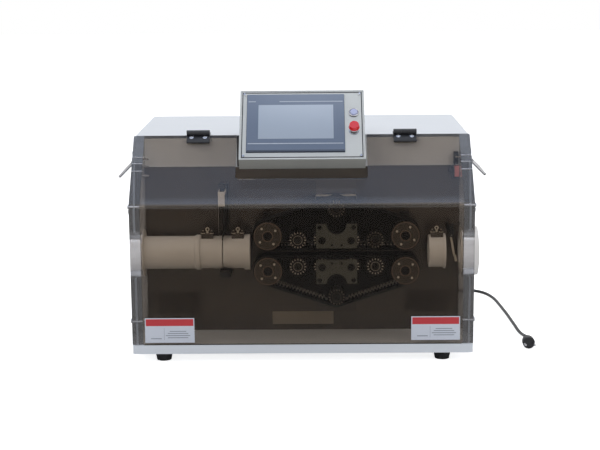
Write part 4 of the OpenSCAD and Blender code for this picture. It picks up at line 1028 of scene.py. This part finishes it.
@dataclass
class TubeTrim:
    """What shows along the tube's path: clamp and flange screws, the blade cover with its painted reflection,
    and the blank plate.
    """

    axis_y: float = 70
    axis_z: float = 219.5
    clamps: tuple[float, ...] = (-196, -133, 278)
    bolt_r: float = 38
    cut_x: float = -164
    blank: Box = ((-65, 120.6, 51), (65, 121.2, 79), 0.2)
    key: Box = ((317, 97, 369), (326.8, 98, 392), 0.3)
    bracket: Box = ((316.5, 110, 391.5), (326, 121.9, 419), 0.8)
    lever_x: float = 308
    lever_lean: float = 10
    flange_faces: tuple[tuple[str, float, int], ...] = (("outlet", -350, -1), ("inlet", 362, 1))

    def build(self) -> None:
        """Makes the tube path's fine pieces."""
        screws = Form()
        top, front = self.axis_z + 41.5, self.axis_y - 9
        for x in self.clamps:
            for across in (-9, 9):
                screws.spun([(0, 6.2), (1.4, 6.2), (1.4, 5.2), (2.8, 5.2), (3.3, 4.6), (3.3, 0.9), (4.6, 0.9),
                             (4.6, 0), (0, 0)], (x + across, front, top), 24, Axis.Z)
            eye = [polar((3.2, 0), 1.3, math.tau * step / 10) for step in range(10)]
            screws.spun(eye, (x, self.axis_y - 5, top + 8), 28)
            screws.disc((x, self.axis_y - 5, top + 2.2), 2.3, 4.4, Axis.Z)
        # Their pale finish stands in for the screws' glints: partly painted highlight.
        screws.piece("clamp_screws", PALE_WEAR_AND_HIGHLIGHT_STEEL, "bright_steel")
        self.blade_cover()
        Form().block(*self.blank).piece("blank_plate", VARNISHED_PLATE, "dark_enamel")
        self.tube_in_one()
        Form().block(*self.key).piece("interlock_key", RED_KEY, "black_nylon")
        Form().block(*self.bracket).piece("interlock_bracket", BLACK_NYLON)
        self.sensor_arm()
        for name, face, side in self.flange_faces:
            bolts = Form()
            for third in range(3):
                y, z = polar((self.axis_y, self.axis_z), self.bolt_r, math.radians(90 + 120 * third))
                bolts.cap_screw((face - side * 0.2, y, z), 3.4, 2.0, Axis.X, side)
            bolts.piece(f"{name}_flange_screws", BRIGHT_STEEL, "bright_steel", "hood")

    def blade_cover(self) -> None:
        """Makes the bright cover over the blade's cheeks, which with its thin bright strips is a painted
        reflection on the guide, and its black cap and foot.
        """
        x, z = self.cut_x, self.axis_z
        # The bright plate and strips stand in for a reflection on the blade guide: painted reflection.
        cover = Form().block((x - 6.9, 33, 322), (x + 6.9, 34.4, 351), 0.3)
        for side in (-6.4, 6.4):
            cover.block((x + side - 0.5, 34, 343), (x + side + 0.5, 84, 350), 0.2)
        cover.block((x - 9.9, 82.8, 255), (x - 9.5, 83.9, 313), 0.1)
        cover.piece("blade_guide_reflection_plate", WHITE_NYLON, "stainless")
        cap = Form().block((x - 8.5, 80.5, 345), (x + 8.5, 83.9, 353), 0.8)
        cap.block((x - 6, 35.4, z - 46), (x + 16, 36.1, z - 34.4), 0.2)
        cap.piece("blade_cover_cap", BLACK_NYLON, "black_nylon")

    def tube_in_one(self) -> None:
        """Makes the outlet tube as it is turned: its plug, a soft shoulder, the wall and the collar."""
        outline = [(25, 0), (48.4, 0), (49, 0.6), (49, 22.5), (47.5, 23), (35.5, 23), (34, 24.5),
                   (34, 126.5), (34.7, 128.3), (36, 129.3), (36.5, 131), (36.5, 138), (36, 139.2),
                   (35, 139.5), (26, 139.5), (25, 138.5)]
        tube = Form().spun(outline, (-350, self.axis_y, self.axis_z), 96, Axis.X)
        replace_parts(tube.piece("outlet_tube_turned", WHITE_NYLON, "white_nylon", "hood"), "outlet_tube")

    def sensor_arm(self) -> None:
        """Makes the bright strip folded round the sensor's lever, with its worn tip."""
        lean = Matrix.Rotation(math.radians(-self.lever_lean), 3, "Y")
        pivot = Vector((self.lever_x, self.axis_y, self.axis_z + 35))
        arm = Form(lean, pivot).block((-3.2, -5.2, -46), (1.2, -4.4, -4), 0.2)
        arm.block((-1.6, -5.2, -58), (3.4, -4.4, -44), 0.3)
        arm.piece("sensor_arm_strip", PALE_WEAR_AND_HIGHLIGHT_STEEL, "bright_steel", "sensor_lever_body")


# The casing's screws

@dataclass
class Casing:
    """The screws that hold the rear panel, the cover and the tray, each with a dark washer."""

    rear: float = 481
    rear_spots: tuple[Pair, ...] = (
        (-336, 60), (-336, 250), (-336, 440), (0, 440), (0, 60), (336, 440), (336, 250), (336, 60))
    side: float = 350
    side_spots: tuple[Pair, ...] = ((150, 52), (300, 52), (455, 52))
    head_r: float = 3.6
    head: float = 1.9
    washer_r: float = 4.9
    washer: float = 0.35

    def screw(self, heads: Form, washers: Form, spot: Point, axis: Axis, sign: int) -> None:
        """Adds one button-head screw and the washer under it.

        Args:
            heads: The form of the screws' heads.
            washers: The form of their washers.
            spot: The middle of the face that they stand on.
            axis: The way that the screw points.
            sign: 1 where it stands along the axis, -1 where it stands against it.
        """
        heads.cap_screw(spot, self.head_r, self.head, axis, sign)
        flat = [(0, -0.2), (self.washer_r, -0.2), (self.washer_r, self.washer), (0, self.washer)]
        washers.spun([(radius, sign * along) for radius, along in flat], spot, 24, axis)

    def build(self) -> None:
        """Makes the casing's screws."""
        heads, washers = Form(), Form()
        for x, z in self.rear_spots:
            self.screw(heads, washers, (x, self.rear, z), Axis.Y, 1)
        for side in (-1, 1):
            for y, z in self.side_spots:
                self.screw(heads, washers, (side * self.side, y, z), Axis.X, side)
        heads.piece("casing_screws", BRIGHT_STEEL, "bright_steel")
        washers.piece("casing_washers", BLACK_OXIDE, "bright_steel")


# Studio

@dataclass
class Studio:
    """The camera, the lamps, the white world and the pale floor."""

    camera_at: Point = (0.02554, -3.0797, 0.82855)
    right: Point = (0.999927, 0.00873, -0.008212)
    up: Point = (0.00643, 0.18749, 0.98226)
    forward: Point = (-0.010115, 0.98223, -0.18742)
    lens: float = 85.46
    sensor: float = 36
    reach: float = 50
    world_level: float = 0.5
    overhead_level: float = 1.4
    overhead_from: Pair = (0.8, 0.92)
    floor_size: float = 12
    floor_glow: float = 0.8
    lamps: tuple[tuple[str, Point, Point, float, float], ...] = (
        ("key_lamp", (-1.8, -2.6, 2.6), (0, 0, 0.25), 1.8, 14),
        ("fill_lamp", (2.4, -2.2, 1.8), (0, 0, 0.25), 1.8, 11),
        ("top_lamp", (0.2, 0.6, 3.0), (0, 0, 0.3), 2.0, 26))

    def camera(self) -> None:
        """Places the camera at the photograph's viewing point."""
        data = bpy.data.cameras.new("photo_camera")
        data.sensor_width = self.sensor
        data.lens = self.lens
        data.clip_end = self.reach
        turn = Matrix((self.right, self.up, -Vector(self.forward))).transposed()
        bpy.context.scene.camera = stand("photo_camera", data,
                                         Matrix.Translation(Vector(self.camera_at)) @ turn.to_4x4())

    def world(self) -> None:
        """Makes the world: white where it is seen, cool overhead in mirrors, and a soft grey elsewhere."""
        world = bpy.data.worlds.new("studio_world")
        world.use_nodes = True
        tree = world.node_tree
        tree.nodes.clear()
        soft, white, cool = [
            add(tree, "Background", {"Color": linear(code), "Strength": level}).outputs[0] for code, level in
            (("f4f6fa", self.world_level), ("ffffff", 1.0), ("cfe0ff", self.overhead_level))]
        camera, through, glossy = [add(tree, "LightPath").outputs[f"Is {kind} Ray"]
                                   for kind in ("Camera", "Transmission", "Glossy")]
        seen = add(tree, "Math", {"operation": "MAXIMUM"}, {0: camera, 1: through}).outputs[0]
        seen = add(tree, "Math", {"operation": "MAXIMUM"}, {0: seen, 1: glossy}).outputs[0]
        way = add(tree, "SeparateXYZ", links={"Vector": add(tree, "TexCoord").outputs["Generated"]})
        low, full = self.overhead_from
        high = add(tree, "MapRange", {"From Min": low, "From Max": full}, {"Value": way.outputs["Z"]})
        overhead = add(tree, "Math", {"operation": "MULTIPLY"},
                       {0: high.outputs["Result"], 1: glossy}).outputs[0]
        light = add(tree, "MixShader", links={0: seen, 1: soft, 2: white}).outputs[0]
        light = add(tree, "MixShader", links={0: overhead, 1: light, 2: cool}).outputs[0]
        add(tree, "OutputWorld", links={0: light})
        bpy.context.scene.world = world

    def floor(self) -> None:
        """Lays the pale floor, which keeps a little of the machine's shadow."""
        made = bmesh.new()
        bmesh.ops.create_grid(made, x_segments=1, y_segments=1, size=self.floor_size)
        mesh = bpy.data.meshes.new("studio_floor")
        made.to_mesh(mesh)
        made.free()
        floor = stand("studio_floor", mesh)
        paint = bpy.data.materials.new("studio_floor_paint")
        paint.use_nodes = True
        tree = paint.node_tree
        inputs = tree.nodes["Principled BSDF"].inputs
        for key, value in {"Base Color": linear("fbfbfb"), "Roughness": 0.9, "Specular IOR Level": 0.1,
                           "Emission Color": linear("ffffff")}.items():
            inputs[key].default_value = value
        seen = add(tree, "LightPath").outputs["Is Camera Ray"]
        glow = add(tree, "Math", {"operation": "MULTIPLY"}, {0: seen})
        glow.inputs[1].default_value = self.floor_glow
        tree.links.new(glow.outputs[0], inputs["Emission Strength"])
        mesh.materials.append(paint)

    def build(self) -> None:
        """Lights the studio with soft square lamps, each given by its place, target, side and watts."""
        bpy.context.scene.view_settings.view_transform = "Standard"
        self.world()
        self.floor()
        for name, place, target, size, watts in self.lamps:
            data = bpy.data.lights.new(name, "AREA")
            data.size, data.energy = size, watts
            turn = (Vector(target) - Vector(place)).to_track_quat("-Z", "Y").to_matrix().to_4x4()
            stand(name, data, Matrix.Translation(Vector(place)) @ turn)


# The CAD nodes' finishes

def dress_frame(frame: dict) -> None:
    """Gives every CAD node its own finish, or else the one of its material slot.
    """
    for part in frame["record"]["subparts"]:
        node = frame["nodes"][part["node"]]
        finish = NODE_FINISHES.get(part["node"], SLOT_FINISHES[part["material_slot"]])
        finish.dress(node)
        node.visible_shadow = finish.transmission == 0


def unmirror(frame: dict) -> None:
    """Keeps the display out of mirrored rays: in the photograph the hood's film shows no image of it.
    """
    for name in ("display_box", "start_button", "stop_button", "screen_glass", "bezel_lines", "face_gasket",
                 "touch_panel_body", "touch_panel_edge_and_shade", "face_plate_strip", "face_screws", "start_ring",
                 "start_halo", "stop_collar"):
        (frame["nodes"].get(name) or bpy.data.objects[name]).visible_glossy = False


def main() -> None:
    """Dresses the machine piece by piece."""
    logging.basicConfig(level=logging.INFO, format="%(message)s")
    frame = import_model()
    studio = Studio()
    studio.camera()
    PowerCord().build()
    dress_frame(frame)
    Display().build()
    unmirror(frame)
    HoodTrim().build()
    FeedTrim().build()
    TubeTrim().build()
    Casing().build()
    studio.build()


if __name__ == "__main__":
    main()
